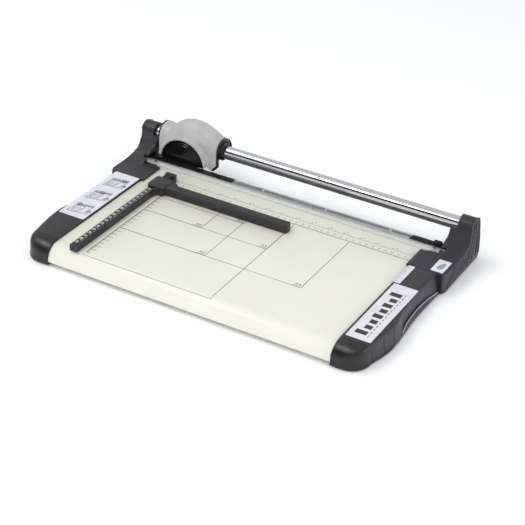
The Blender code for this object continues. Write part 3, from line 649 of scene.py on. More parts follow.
# ---------------------------------------------------------------- end caps
def cap_side(y):
    """How far out a cap reaches at its foot."""
    nose, radius = Vector((0.231, -0.148)), 0.030
    if y < nose.y:
        sine = min(1.0, (nose.y - y) / radius)
        return nose.x + radius * math.sqrt(max(0.0, 1 - sine**2)) ** 0.85
    line = [(-0.148, 0.2610), (-0.116, 0.2680), (-0.082, 0.2700), (-0.034, 0.2662), (0.010, 0.2655),
            (SEAM_Y, 0.2665)]
    return between(smooth_line(line, 12), y)


def cap_roof(y):
    roll = sizes().roll_radius
    ahead = max(0.0, TABLE_LOW.y + roll - y)
    return TABLE_TOP - roll + math.sqrt((roll + CAP_TOP - TABLE_TOP) ** 2 - ahead**2)


def bump(value, middle, width):
    return math.exp(-(((value - middle) / width) ** 2))


def cap_groove(y, z):
    """Depth of the slanted grooves on the cap's flank."""
    depth = 0.0
    for start in (-0.148, -0.121, -0.097):
        sag = (TABLE_TOP - z) / 0.020
        at = start - 0.0025 * sag + 0.0035 * sag * sag
        depth += 0.0019 * bump(y, at, 0.0008)
    return depth * (part_of_one((CAP_TOP - 0.0030 - z) / 0.003) * part_of_one((z - 0.006) / 0.004))


def ledge_depth(y):
    """How far the flank above the crescent ledge is set back."""
    fade = 1 - 0.45 * part_of_one((y - 0.010) / 0.044)
    return 0.0036 * eased(part_of_one((y + 0.082) / 0.030)) * fade


def ledge_height(y):
    """The ledge starts low behind the nose, stays a finger's width up and drops at the seam."""
    line = [(-0.110, 0.0024), (-0.092, 0.0048), (-0.074, 0.0074), (-0.048, 0.0105), (-0.0125, 0.0118),
            (0.020, 0.0098), (0.044, 0.0066), (0.0560, 0.0052)]
    return between(line, y)


def nose_step(y):
    """The bumper in front of the label stands a little lower, past a fine crease."""
    drop = 0.0007 * part_of_one((NOSE_LINE - y) / 0.0012)
    return drop + 0.0007 * bump(y, NOSE_LINE, 0.0007)


def cap_section(y):
    """The cap's outer surface at one place along it, from its inner lower edge round to its foot."""
    inner, bottom, edge = CAP_LOW.x, CAP_LOW.z, sizes().cap_edge
    foot, roof = cap_side(y), cap_roof(y) - nose_step(y)
    rise = roof - bottom
    share = eased(part_of_one((-0.112 - y) / 0.040))  # grows towards the nose, which is rounder and upright
    edge = min(edge + 0.0035 * share, rise * 0.45)
    lean = 0.0045 - 0.0037 * share
    shelf, shelf_z = ledge_depth(y), ledge_height(y)
    top_x = foot - lean - shelf
    points = [(inner, bottom), (inner, roof - 0.0008), (inner + 0.0003, roof - 0.0003), (inner + 0.0009, roof)]
    points += arc((top_x - edge, roof - edge), edge, 90, 12, 7)
    flank = [(shelf, (roof - edge) + (shelf_z - (roof - edge)) * i / 9) for i in range(1, 10)]
    ledge = [(shelf * 0.55, shelf_z - 0.0002), (shelf * 0.2, shelf_z - 0.0006), (0.0, shelf_z - 0.0016)]
    points += [(foot - lean * (z - bottom) / rise - back, z) for back, z in flank + ledge]
    points += [(foot - 0.0003, bottom + 0.0012), (foot - 0.0012, bottom)]
    shaped = []
    for x, z in points:
        near_wall = x > top_x - 0.003
        shaped.append((x - (cap_groove(y, z) if near_wall else 0.0), y, z))
    return shaped


def make_caps():
    back = SEAM_Y - GAP
    nose, radius, even, count = -0.148, 0.030, -0.152, 130
    ys = [nose - radius * math.sin(math.radians(86 - 3.2 * i)) for i in range(25)]
    ys = [y for y in ys if y < even]
    ys += [even + (back - even) * i / count for i in range(count + 1)]
    rows = [cap_section(y) for y in ys]
    middle = (rows[0][0][0] + rows[0][-1][0]) / 2
    front_wall = [
        [(middle + (x - middle) * share, y, CAP_LOW.z + (z - CAP_LOW.z) * share) for x, y, z in rows[0]]
        for share in (0.0, 0.5, 0.9)
    ]
    cap = skin("end_cap", front_wall + rows, closed=False)
    apply(cap, "SOLIDIFY", thickness=CAP_WALL, offset=-1)
    for vert in cap.data.vertices:
        vert.co.z = max(vert.co.z, CAP_LOW.z)
    edit(merge, outward)
    caps = pair(cap, "left_cap_shell")
    cap.name = "right_cap_shell"
    for name in SIDES:
        complete(caps[name], "base", "black_plastic", "black_plastic", f"{name}_end_cap", angle=40)
        add_look(caps[name], "gloss_plastic", lambda face: face.center.y < NOSE_LINE and face.center.z < 0.0318)
    # the ledge lip: a real rounded bead along the ledge, whose light grey finish is a painted highlight along it
    line = []
    for i in range(60):
        y = -0.070 + (SEAM_Y + 0.066) * i / 59
        z = ledge_height(y)
        leaning = 0.0045 * (z - CAP_LOW.z) / (CAP_TOP - CAP_LOW.z)
        line.append((cap_side(y) - leaning - ledge_depth(y) * 0.45, y, z + 0.0001))
    lips = pair(bead("right_ledge_lip", line, 0.0010, 2), "left_ledge_lip")
    for name in SIDES:
        complete(lips[name], "base", "black_plastic", "ledge_highlight_paint")


# ---------------------------------------------------------------- rail brackets
def arm_outline(front):
    """One side view of the bracket: it sweeps up to the round holder and down behind it."""
    low = BRACKET_LOW.z + GAP
    crown = arc((RAIL.y, RAIL.z), 0.0145, 160, 15, 18)
    back = [(0.1670, 0.0610), (0.1702, 0.0440), (0.1752, 0.0260), (0.1776, 0.0120), (0.1762, low)]
    return smooth_line(front, 6) + crown + smooth_line(back, 5) + [(0.094, low)]


ARM_OUTER = (  # the arm's front edge from the side, on its outer face
    (0.094, 0.0315), (0.112, 0.0338), (0.126, 0.0372), (0.1352, 0.0440), (0.1384, 0.0530), (0.1400, 0.0640),
)
ARM_INNER = (  # and on its inner face
    (0.0945, 0.0316), (0.1050, 0.0385), (0.1170, 0.0440), (0.1285, 0.0478), (0.1338, 0.0545), (0.1362, 0.0645),
)
FLOW = (  # lines of the flank's flowing ribs, each from the top down to its foot
    ((0.1640, 0.0690), (0.1690, 0.0500), (0.1735, 0.0300), (0.1752, 0.0080)),
    ((0.1592, 0.0712), (0.1628, 0.0520), (0.1662, 0.0340), (0.1650, 0.0080)),
    ((0.1542, 0.0718), (0.1566, 0.0540), (0.1570, 0.0360), (0.1500, 0.0080)),
    ((0.1500, 0.0600), (0.1500, 0.0520), (0.1468, 0.0370), (0.1330, 0.0080)),
    ((0.1446, 0.0600), (0.1432, 0.0500), (0.1360, 0.0350), (0.1160, 0.0080)),
    ((0.1392, 0.0500), (0.1340, 0.0400), (0.1210, 0.0260), (0.1000, 0.0080)),
    ((0.1240, 0.0352), (0.1140, 0.0290), (0.1010, 0.0200), (0.0860, 0.0080)),
    ((0.1060, 0.0300), (0.0960, 0.0225), (0.0860, 0.0150), (0.0740, 0.0075)),
    ((0.0900, 0.0295), (0.0800, 0.0220), (0.0725, 0.0140), (0.0660, 0.0060)),
)


def make_bracket():
    """The right bracket: a flat corner, the sweeping arm and its holder, with ribs down its flank."""
    corner, outer = BRACKET_LOW.x, BRACKET_HIGH.x - 0.0018
    plan = [(corner, SEAM_Y + GAP), (outer - 0.003, SEAM_Y + GAP), (outer, SEAM_Y + 0.008), (outer, 0.112),
            (ARM_X + 0.002, 0.112), (ARM_X + 0.001, 0.1055), (corner, 0.1013)]
    bracket = prism("right_bracket_shell", plan, "Z", BRACKET_LOW.z, CAP_TOP)
    outside, inside = arm_outline(ARM_OUTER), arm_outline(ARM_INNER)
    arm = prism("arm", outside, "X", ARM_X, outer + 0.0002)
    for vert in arm.data.vertices:
        if vert.co.x < ARM_X + 0.001:
            nearest = min(range(len(inside)), key=lambda k: (Vector(outside[k]) - vert.co.yz).length)
            vert.co.yz = inside[nearest]
    carve(bracket, arm, operation="UNION")
    cradle = block("cradle", (ARM_X - 0.004, 0.12, RAIL.z), (0.2495, 0.19, 0.09))
    carve(bracket, cradle)
    round_edges(bracket, 0.0018, 4, 34)
    centre, loose, end = (0, RAIL.y, RAIL.z), RAIL_R + GAP, RAIL_HALF + GAP
    socket = turned("socket", [(0, 0.236), (loose, 0.236), (loose, end), (0, end)], "X", centre, 64)
    seat = turned("seat", [(0, 0.268), (0.0058, 0.268), (0.0058, 0.280), (0, 0.280)], "X", centre, 48)
    pocket = block("pocket", (ARM_X - 0.004, 0.1056, BAR_LOW.z - 0.006), (0.2475, STRIP_HIGH.y + 0.001, 0.040))
    hollow = block("hollow", (0.2268, SEAM_Y + 0.0055, -0.01), (0.2670, 0.1005, 0.0285))
    slant = math.radians(66)
    along, across = Vector((math.cos(slant), math.sin(slant))), Vector((-math.sin(slant), math.cos(slant)))
    pill = []
    for way in (1, -1):
        for i in range(9):
            a = math.radians(180 * i / 8)
            turn = across * math.cos(a) * way + along * math.sin(a) * way
            pill.append(tuple(Vector((0.1462, 0.0664)) + along * 0.0036 * way + turn * 0.0017))
    recess = prism("recess", pill, "X", outer - 0.0030, outer + 0.01)
    carve(bracket, socket, seat, pocket, hollow, recess)
    ribs = []
    for i, line in enumerate(FLOW):
        path = smooth_line(line, 6)
        points = [(outer - 0.0009 - 0.0012 * (k in (0, 18)), y, z) for k, (y, z) in enumerate(path)]
        ribs.append(bead(f"rib_{i}", points, 0.0024, 3))
    return join("right_bracket_shell", [bracket] + ribs)


def make_brackets():
    brackets = pair(make_bracket(), "left_bracket_shell")
    for name in SIDES:
        complete(brackets[name], "base", "black_plastic", "black_plastic", f"{name}_rail_bracket", angle=38)


# ---------------------------------------------------------------- rail, bed and small fixings
def make_rail():
    centre, bore, chamfer = (0, RAIL.y, RAIL.z), RAIL_R - 0.0015, 0.0004
    profile = [(bore, -RAIL_HALF), (RAIL_R - chamfer, -RAIL_HALF), (RAIL_R, -RAIL_HALF + chamfer)]
    profile += [(RAIL_R, RAIL_HALF - chamfer), (RAIL_R - chamfer, RAIL_HALF), (bore, RAIL_HALF)]
    rail = turned("rail_tube", profile, "X", centre, 128)
    complete(rail, "base", "chrome", "chrome", "guide_rail")
    sunk, proud = RAIL_R - 0.0002, RAIL_R + 0.0005
    ring = [(sunk, 0.2470), (proud, 0.2474), (proud, 0.2490), (sunk, 0.2494)]
    rings = [turned(f"ring_{way}", [(r, x * way) for r, x in ring], "X", centre, 96) for way in SIDES.values()]
    complete(join("rail_end_rings", rings), "base", "chrome", "polished_bar")


def screw_head(name, node, axis, body, look="bright_steel"):
    """A pan-head screw with a cross recess, in place of a packed one."""
    low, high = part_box(node)
    along = "XYZ".index(axis[-1])
    way = -1 if axis[0] == "-" else 1
    middle = (low + high) / 2
    middle[along] = 0
    radius = (high[(along + 1) % 3] - low[(along + 1) % 3]) / 2
    crown = high[along] if way > 0 else -low[along]
    tip = low[along] if way > 0 else -high[along]
    thick = min(0.0030, radius * 0.58)
    shank = radius * 0.44
    dome = [(radius * math.cos(a), crown - thick + 0.4 * thick + 0.6 * thick * math.sin(a))
            for a in [math.radians(8 + 82 * i / 7) for i in range(8)]]
    profile = [(0, tip), (shank * 0.6, tip), (shank, tip + 0.0008), (shank, crown - thick), (radius, crown - thick)]
    profile += dome[:-1] + [(0, crown)]
    profile = [(r, way * t) for r, t in profile]
    made = turned(name, profile, axis[-1], middle, 32)
    for long_way in (0, 1):
        others = [k for k in range(3) if k != along]
        low_corner, high_corner = middle.copy(), middle.copy()
        reach = (radius * 0.5, radius * 0.11)
        for k, half in zip(others, reach if long_way else reach[::-1]):
            low_corner[k] -= half
            high_corner[k] += half
        low_corner[along] = way * (crown - thick * 0.55)
        high_corner[along] = way * (crown + 0.001)
        corners = list(zip(low_corner, high_corner))
        carve(made, block("recess", [min(two) for two in corners], [max(two) for two in corners]))
    complete(made, body, "bright_steel", look, node, angle=40)


def make_screws():
    for side in SIDES:
        facing = "X" if side == "right" else "-X"
        screw_head(f"{side}_rail_screw_head", f"rail_screw_{side}", facing, "base", "black_steel")
        screw_head(f"{side}_bed_screw_head", f"bed_rail_screw_{side}", "Y", "base")
    for i in range(1, 5):
        screw_head(f"strip_screw_head_{i}", f"counter_blade_screw_{i}", "Y", "base")
    for i in (1, 2):
        screw_head(f"shell_screw_head_{i}", f"shell_screw_{i}", "Y", "cutter_head")
    screw_head("guide_end_screw_head", "side_guide_end_screw", "Y", "base")
    screw_head("stop_screw_head", "stop_screw", "-X", "paper_stop")


def make_bed():
    """The extrusion under the cut, with the counter blade in front of the offcut gap."""
    low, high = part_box("counter_blade")
    strip = block("counter_blade_strip", low, high)
    round_edges(strip, 0.0002, 2, 30)
    complete(strip, "base", "bright_steel", "bright_steel", "counter_blade")
    bed = copy_of("bed_rail", "bed_extrusion")
    round_edges(bed, 0.0003, 2, 50)
    complete(bed, "base", "black_aluminium", "black_aluminium", "bed_rail")


def make_feet():
    profile = [(0, 0.0002), (0.0030, 0.0002), (0.0034, 0), (0.0074, 0), (0.0084, 0.0004), (0.0090, 0.0014),
               (0.0090, 0.0044), (0.0086, 0.0047), (0.0029, 0.0047), (0.0029, 0.0098), (0, 0.0098)]
    for name in ("front_left", "front_right", "rear_left", "rear_right"):
        low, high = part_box(f"rubber_foot_{name}")
        foot = turned(f"foot_{name}", profile, "Z", ((low.x + high.x) / 2, (low.y + high.y) / 2, 0), 40)
        complete(foot, "base", "rubber", "rubber", f"rubber_foot_{name}")


# ---------------------------------------------------------------- paper clamp
def make_clamp():
    strip = block("clamp_sheet", STRIP_LOW, STRIP_HIGH)
    round_edges(strip, 0.0006, 3)
    complete(strip, "paper_clamp", "clear_acrylic", "clear_acrylic", "clamp_strip")
    bar = block("clamp_rail", BAR_LOW, BAR_HIGH)
    round_edges(bar, 0.0003, 2)
    ridge_low = Vector((BAR_LOW.x, BAR_LOW.y + 0.0022, BAR_HIGH.z - 0.0002))
    ridges = [bar]
    for i in range(2):
        low = ridge_low + Vector((0, 0.0058 * i, 0))
        ridge = block(f"ridge_{i}", low, low + Vector((BAR_HIGH.x - BAR_LOW.x, 0.0014, 0.0006)))
        ridges.append(round_edges(ridge, 0.0002, 2))
    complete(join("clamp_rail", ridges), "paper_clamp", "bright_steel", "polished_bar", "clamp_bar")
    for side in SIDES:
        low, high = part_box(f"clamp_end_{side}")
        end = block(f"{side}_clamp_block", low, high)
        round_edges(end, 0.0005, 3)
        first = low + Vector((0.004, 0.001, high.z - low.z - 0.0003))
        grip = row("grip", first, (0.0008, high.y - low.y - 0.002, 0.0006), (0.002, 0, 0), 14)
        end = join(f"{side}_clamp_block", [end, grip])
        complete(end, "paper_clamp", "dark_trim", "dark_trim", f"clamp_end_{side}")
        low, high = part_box(f"clamp_pin_{side}")
        middle = ((low.x + high.x) / 2, (low.y + high.y) / 2, 0)
        profile = [(0, low.z), (0.0016, low.z), (0.002, low.z + 0.0004), (0.002, high.z - 0.0005),
                   (0.0014, high.z), (0, high.z)]
        pin = turned(f"{side}_clamp_pin", profile, "Z", middle, 32)
        complete(pin, "paper_clamp", "bright_steel", "bright_steel", f"clamp_pin_{side}")
        x, top = middle[0], STRIP_HIGH.z
        cap = block(f"{side}_pin_cap", (x - 0.0060, 0.1212, high.z - 0.0004), (x + 0.0060, 0.1290, high.z + 0.0034))
        complete(round_edges(cap, 0.0007, 3), "paper_clamp", "dark_trim", "dark_trim")
        clip = block(f"{side}_strip_clip", (x - 0.0022, 0.1100, top), (x + 0.0022, 0.1155, top + 0.0008))
        complete(round_edges(clip, 0.0003, 2), "paper_clamp", "bright_steel", "polished_bar")
    profile = [(0, 0), (0.0016, 0), (0.0015, 0.0005), (0.0009, 0.0008), (0, 0.0009)]
    rivets = []
    for i in range(3):
        place = (0.103 * i - 0.049, (BAR_LOW.y + BAR_HIGH.y) / 2, BAR_HIGH.z + 0.0001)
        rivets.append(turned(f"rivet_{i}", profile, "Z", place, 20))
    # a dark strip laid on the left part of the clamp bar: a painted reflection of the dark cutting head, fixed in
    # place
    reflection_strip = block("clamp_bar_painted_reflection", (BAR_LOW.x + 0.0004, BAR_LOW.y + 0.0002, BAR_HIGH.z - 0.0001),
                  (REFLECTION_END, BAR_HIGH.y - 0.0002, BAR_HIGH.z + 0.0006))
    complete(round_edges(reflection_strip, 0.0003, 2), "paper_clamp", "dark_trim", "dark_trim")
    complete(join("clamp_rivets", rivets), "paper_clamp", "bright_steel", "label_film")


# ---------------------------------------------------------------- cutting head
def shell_top(x):
    """Height of the shell along the rail: a low arch that the palm dome rises from."""
    arch, radius = 0.0828, sizes().dome_radius
    reach = radius**2 - (x + 0.1800) ** 2
    dome = 0.0485 + math.sqrt(reach) if reach > 0 else arch
    blend = 0.0012
    return 0.5 * (arch + dome + math.sqrt((dome - arch) ** 2 + blend**2)) - blend * 0.3


def shell_foot(x):
    """Height of the shell's lower front edge: the right foot comes to a rounded point."""
    tip = GUARD_X + 0.0482
    if x < GUARD_X:
        return 0.0338
    return 0.0338 + min(1.15 * (math.sqrt((x - tip) ** 2 + 0.0012**2) - 0.0012), 0.012)


def crown(turn, front, back, rise):
    """A point of the shell's crown: full and upright in front, sloping away behind."""
    ahead = turn < math.pi / 2
    half, flat, round_up = (RAIL.y - front, 0.75, 0.78) if ahead else (back - RAIL.y, 1.34, 1.16)
    reach = half * math.copysign(abs(math.cos(turn)) ** flat, math.cos(turn))
    return RAIL.y - reach, RAIL.z + rise * math.sin(turn) ** round_up


def edge_band(distance, width, height):
    """A raised band along an end of the shell."""
    return height * (1 - 1 / (1 + math.exp(-(distance - width) / 0.00022)))


def end_tuck(left, right):
    """How far the shell's outside is drawn in near its two ends, past the raised bands there."""
    tuck = -edge_band(left, 0.0058, 0.0008) - edge_band(right, 0.0030, 0.0006)
    for distance, radius in ((left, 0.0030), (right, 0.0022)):
        if distance < radius:
            tuck += 0.6 * (radius - math.sqrt(max(0.0, radius**2 - (radius - distance) ** 2)))
    return tuck


def shell_line(x, tuck):
    """The shell's surface at one place along the rail, front foot to back foot, drawn in by tuck."""
    left = x - HEAD_LEFT
    foot, top = shell_foot(x), shell_top(x) - tuck
    flare = 0.0042 * max(0.0, 1 - left / 0.006) ** 1.5
    front, back = HEAD_FRONT + tuck, HEAD_BACK - tuck
    points = []
    for i in range(12):
        z = foot + (0.060 - foot) * i / 12
        low_down = max(0.0, 1 - (z - foot) / 0.010)
        points.append((x - flare * low_down**1.6, front, z))
    steps = 48
    for k in range(steps + 1):
        y, z = crown(math.pi * k / steps, front, back, top - RAIL.z)
        points.append((x, y, z))
    points.append((x, back, 0.048))
    shaped = []
    for px, py, pz in points:
        r = math.hypot(px - GUARD_X, pz - GUARD_Z)
        valley = 0.0020 * bump(r, 0.0475, 0.0042) * part_of_one((px - GUARD_X - 0.012) / 0.016)
        if py < RAIL.y:
            py += valley * part_of_one((0.086 - pz) / 0.02)
        shaped.append((px, py, pz))
    return shaped


def shell_row(x):
    """A closed loop through the shell's wall: up and over outside, and back inside."""
    outside = shell_line(x, end_tuck(x - HEAD_LEFT, HEAD_RIGHT - x))
    loop = outside + shell_line(x, SHELL_WALL)[::-1]
    return loop + loop[:1]


def make_shell():
    count = 96
    stations = [HEAD_LEFT + (HEAD_RIGHT - HEAD_LEFT) * i / count for i in range(count + 1)]
    near_left = (0.0003, 0.0006, 0.0016, 0.0054, 0.0057, 0.0060, 0.0063)
    near_right = (0.0003, 0.0006, 0.0024, 0.0028, 0.0032, 0.0036)
    edge = [HEAD_LEFT + s for s in near_left] + [HEAD_RIGHT - s for s in near_right]
    rows = [shell_row(x) for x in sorted(stations + edge)]
    shell = skin("head_cover", rows)
    wide, deep = GUARD_R + 0.0004, HEAD_FRONT + 0.006
    opening = [(0, 0.12), (wide, 0.12), (wide, deep), (0, deep)]
    carve(shell, turned("opening", opening, "Y", (GUARD_X, 0, GUARD_Z), 128))
    complete(shell, "cutter_head", "grey_plastic", "grey_plastic", "head_shell", angle=50)


def make_guard_ring():
    """The raised ring of the shell round the blade guard."""
    wide = sizes().guard_ring
    inner, face = GUARD_R + 0.0003, HEAD_FRONT
    profile = [(inner, face + 0.0016), (inner + 0.0001, face - 0.0004), (inner + 0.0006, face - 0.0010),
               (inner + wide * 0.5, face - 0.0012), (inner + wide * 0.85, face - 0.0008),
               (inner + wide, face + 0.0001), (inner + wide, face + 0.0016)]
    ring = turned("guard_ring", profile, "Y", (GUARD_X, 0, GUARD_Z), 96, start=-7, angle=165)
    complete(ring, "cutter_head", "grey_plastic", "grey_plastic", angle=50)


def make_guard():
    """The black half disc in front of the blade, with fine steps towards its rim."""
    face, back = GUARD_LOW.y, GUARD_HIGH.y
    steps = [(GUARD_R, 0.0010), (GUARD_R - 0.0005, 0.0004), (0.0352, 0.0004), (0.0341, 0.0015), (0.0332, 0.0015),
             (0.0321, 0.0003), (0.0309, 0.0003), (0.0300, 0.0012), (0.0294, 0.0012), (0.0284, 0.0), (0.0200, -0.0003)]
    profile = [(0, 0.1330), (GUARD_R, 0.1330)] + [(r, face + depth) for r, depth in steps] + [(0, face - 0.0005)]
    guard = turned("guard_disc", profile, "Y", (GUARD_X, 0, GUARD_Z), 128)
    carve(guard, block("below", (-0.26, 0.12, -0.02), (-0.13, 0.15, STRIP_HIGH.z + 0.0009)))
    post = [(0.0016, 0.1329), (0.0034, 0.1329), (0.0034, back), (0.0016, back)]
    posts = [turned("post", post, "Y", (GUARD_X + way * 0.0275, 0, 0.0440), 32) for way in (-1, 1)]
    guard = join("guard_disc", [guard] + posts)
    complete(guard, "cutter_head", "dark_trim", "guard_gloss", "blade_guard", angle=25)


def make_collars():
    """The black end plates of the head: a ring over the rail at the right, a liner at the left."""
    centre = (0, RAIL.y, RAIL.z)
    turns = [math.pi * k / 36 for k in range(37)]
    hood = [(0.1315, 0.0480)] + [crown(t, 0.1315, RAIL.y + 0.0222, 0.0218) for t in turns]
    hood += [(RAIL.y + 0.0222, 0.0540), (RAIL.y + 0.0150, 0.0540)]
    hood += [(y, z) for y, z in arc((RAIL.y, RAIL.z), 0.0150, -10, 190, 30)] + [(0.1366, 0.0500), (0.1356, 0.0480)]
    right = prism("right_plate", hood, "X", HEAD_RIGHT + GAP, HEAD_RIGHT + 0.0028)
    round_edges(right, 0.0006, 3, 40)
    face = HEAD_RIGHT + 0.0028
    groove = [(0.0166, face - 0.0013), (0.0202, face - 0.0013), (0.0202, face + 0.002), (0.0166, face + 0.002)]
    carve(right, turned("groove", groove, "X", centre, 96))
    grow = 1.015
    liner = [(0.1290, 0.0350)] + [crown(t, 0.1300, 0.1752, (shell_top(HEAD_LEFT) - RAIL.z) * grow) for t in turns]
    liner += [(0.1752, 0.0480), (0.1650, 0.0480), (0.1450, 0.0440), (0.1400, 0.0350)]
    left = prism("left_plate", liner, "X", HEAD_LEFT - 0.0020, HEAD_LEFT - GAP)
    bore = [(0, -0.26), (0.0120, -0.26), (0.0120, -0.22), (0, -0.22)]
    carve(left, turned("bore", bore, "X", centre, 64))
    round_edges(left, 0.0004, 2, 50)
    thin, thick = 0.0120, 0.0136
    start, step = HEAD_LEFT - 0.0015, HEAD_RIGHT - 0.004
    ring = [(thin, step), (thick, step), (thick, face), (thin, face)]
    sleeve = [(thin, start), (thick, start), (thick, step), (thin, step)]
    last = HEAD_RIGHT + 0.0034
    xs = [GUARD_X + 0.0350 + (last - GUARD_X - 0.0350) * i / 30 for i in range(31)]
    foot = [(x, max(STRIP_HIGH.z + 0.0008, shell_foot(min(x - 0.0030, HEAD_RIGHT)) - 0.0022)) for x in xs]
    foot += [(last, 0.0560), (xs[0], 0.0560)]
    foot_liner = prism("foot_liner", foot, "Y", HEAD_FRONT + 0.0032, HEAD_FRONT + 0.0048)
    frame_parts = [right, left, foot_liner]
    frame_parts += [turned(name, profile, "X", centre, 64) for name, profile in (("ring", ring), ("sleeve", sleeve))]
    frame_parts.append(block("front_plate", (HEAD_LEFT, 0.1385, 0.0480), (HEAD_RIGHT, 0.1410, 0.0680)))
    frame_parts.append(block("low_plate", (-0.225, 0.1387, 0.0370), (-0.160, 0.1408, 0.0500)))
    frame_parts.append(block("rear_plate", (HEAD_LEFT, 0.1696, 0.0480), (HEAD_RIGHT, 0.1714, 0.0580)))
    complete(join("head_frame", frame_parts), "cutter_head", "dark_trim", "dark_trim", "head_carriage", angle=40)
    for side in SIDES:
        low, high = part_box(f"rail_bush_{side}")
        chamfer = 0.0004
        inner, outer = RAIL_R + GAP, 0.0117
        profile = [(inner, low.x), (outer - chamfer, low.x), (outer, low.x + chamfer), (outer, high.x - chamfer),
                   (outer - chamfer, high.x), (inner, high.x)]
        bush = turned(f"{side}_bush", profile, "X", centre, 64)
        complete(bush, "cutter_head", "dark_trim", "dark_trim", f"rail_bush_{side}")


def make_blade():
    """The round blade with its ground bevel, turning on its hub."""
    centre = ((BLADE_LOW.x + BLADE_HIGH.x) / 2, 0, (BLADE_LOW.z + BLADE_HIGH.z) / 2)
    front, back = BLADE_LOW.y, BLADE_HIGH.y
    bore, bevel = 0.0043, 0.0022
    profile = [(bore, front), (BLADE_R, front), (BLADE_R, front + 0.00005), (BLADE_R - bevel, back), (bore, back)]
    blade = turned("cutting_wheel", profile, "Y", centre, 128)
    complete(blade, "cutting_blade", "bright_steel", "blade_steel", "blade_disc", angle=20)


# ---------------------------------------------------------------- guide and stop
def make_guide():
    guide = copy_of("side_guide", "guide_bar")
    round_edges(guide, 0.0006, 3, 30)
    complete(guide, "base", "black_aluminium", "guide_plastic", "side_guide")
    plug = block("guide_front_plug", (GUIDE_LOW.x + 0.0001, GUIDE_LOW.y - 0.0016, GUIDE_LOW.z + 0.0003),
                 (GUIDE_HIGH.x - 0.0001, GUIDE_LOW.y - 0.0002, GUIDE_HIGH.z - 0.0001))
    round_edges(plug, 0.0004, 2)
    hole = block("hole", (GUIDE_LOW.x + 0.0040, GUIDE_LOW.y - 0.002, GUIDE_LOW.z + 0.0034),
                 (GUIDE_HIGH.x - 0.0036, GUIDE_LOW.y - 0.0006, GUIDE_HIGH.z - 0.0034))
    complete(carve(plug, hole), "base", "black_plastic", "black_plastic")
    end = copy_of("side_guide_end", "guide_end_block")
    complete(end, "base", "black_plastic", "black_plastic", "side_guide_end")
    top = GUIDE_HIGH.z
    middle = (GUIDE_LOW.x + GUIDE_HIGH.x) / 2
    marks = []
    for step, count, length, wide in ((CENTIMETRE / 2, 39, 0.0018, 0.0004), (CENTIMETRE, 20, 0.0030, 0.0006)):
        low = Vector((GUIDE_HIGH.x - 0.0016 - length, CUT_Y - 0.290 - wide / 2, top - INK * 0.2))
        marks.append(row("marks", low, (length, wide, INK), (0, step, 0), count))
    for i in range(10, 30):
        place = Vector((middle - 0.0010, CUT_Y - CENTIMETRE * i, top + INK * 0.3))
        marks.append(lettering(str(i), 0.0064, place, 90))
    complete(join("guide_scale", marks), "base", "black_aluminium", "white_ink")


def make_stop():
    stop = copy_of("stop_arm", "stop_bar")
    round_edges(stop, 0.0008, 3, 30)
    complete(stop, "paper_stop", "black_plastic", "black_plastic", "stop_arm")


# ---------------------------------------------------------------- labels
def label_plate(name, node):
    low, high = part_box(node)
    radius = 0.0012
    outline = []
    for x, y, start in ((high.x, high.y, 0), (low.x, high.y, 90), (low.x, low.y, 180), (high.x, low.y, 270)):
        middle = (x - radius if x == high.x else x + radius, y - radius if y == high.y else y + radius)
        outline += arc(middle, radius, start, start + 90, 5)
    complete(prism(name, outline, "Z", low.z, high.z), "base", "label_film", "label_film", node)
    return low, high


def make_left_label():
    """Three line drawings: lay the sheet, slide the head, take the sheet away."""
    low, high = label_plate("left_label_film", "left_label")
    z, ink = high.z, []
    middle = (low.x + high.x) / 2
    for i in range(3):
        y = low.y + (high.y - low.y) * (0.18 + 0.31 * i)

        def drawn(name, corners, width, x0=middle, y0=y):  # corners in millimetres from the drawing's middle
            places = [(x0 + MILLIMETRE * a, y0 + MILLIMETRE * b, z) for a, b in corners]
            ink.append(bead(name, places, width * 1.5, 1))

        drawn(f"board_{i}", [(-14, -16), (11, -12), (14, 13), (-11, 9), (-14, -16)], 0.00032)
        drawn(f"rail_{i}", [(-12, 5.5), (13.5, 9.5)], 0.0006)
        drawn(f"page_{i}", [(-10, -12), (2, -10), (4, 5), (-8, 3), (-10, -12)], 0.00030)
        drawn(f"scale_{i}", [(-10, -7), (3, -5)], 0.00022)
        drawn(f"fold_{i}", [(-9.5, -3), (3.5, -1)], 0.00022)
        turns = [math.radians(t) for t in range(0, 361, 30)]
        drawn(f"knob_{i}", [(-8 + 8 * i + 3.2 * math.cos(t), 8 + 3.2 * math.sin(t)) for t in turns], 0.0006)
        drawn(f"arrow_{i}", [(12.4, -6), (16, -1), (18.4, -7)], 0.0004)
        drawn(f"shaft_{i}", [(15, -13), (16, -1)], 0.0004)
    complete(join("left_label_print", ink), "base", "label_film", "pale_ink")


def make_right_label():
    """A plain bold pattern of bars over a dashed cutting line."""
    low, high = label_plate("right_label_film", "right_label")
    z, marks = high.z - INK * 0.3, []
    heights = (1.0, 0.62, 0.62, 0.8, 0.62, 0.8, 0.62, 1.0)
    pitch = (high.y - low.y - 0.028) / len(heights)
    for i, height in enumerate(heights):
        y = low.y + 0.012 + pitch * i
        base_x = high.x - 0.0125
        bar = block(f"bar_{i}", (base_x - 0.0165 * height, y, z), (base_x, y + pitch * 0.62, z + INK))
        marks.append(round_edges(bar, 0.00002, 1))
    dashes = row("dashes", (high.x - 0.0095, low.y + 0.010, z), (0.0011, 0.0048, INK), (0, 0.0086, 0), 14)
    marks.append(dashes)
    complete(join("right_label_print", marks), "base", "label_film", "bold_ink")
    low, high = label_plate("scale_label_film", "right_scale_label")
    z = high.z - INK * 0.3
    ticks = [row("ticks", (low.x + 0.0012, low.y + 0.003, z), (0.0022, 0.0003, INK), (0, 0.002, 0), 22),
             row("long_ticks", (low.x + 0.0012, low.y + 0.003, z), (0.0040, 0.0005, INK), (0, 0.010, 0), 5)]
    complete(join("scale_label_print", ticks), "base", "label_film", "print_ink")


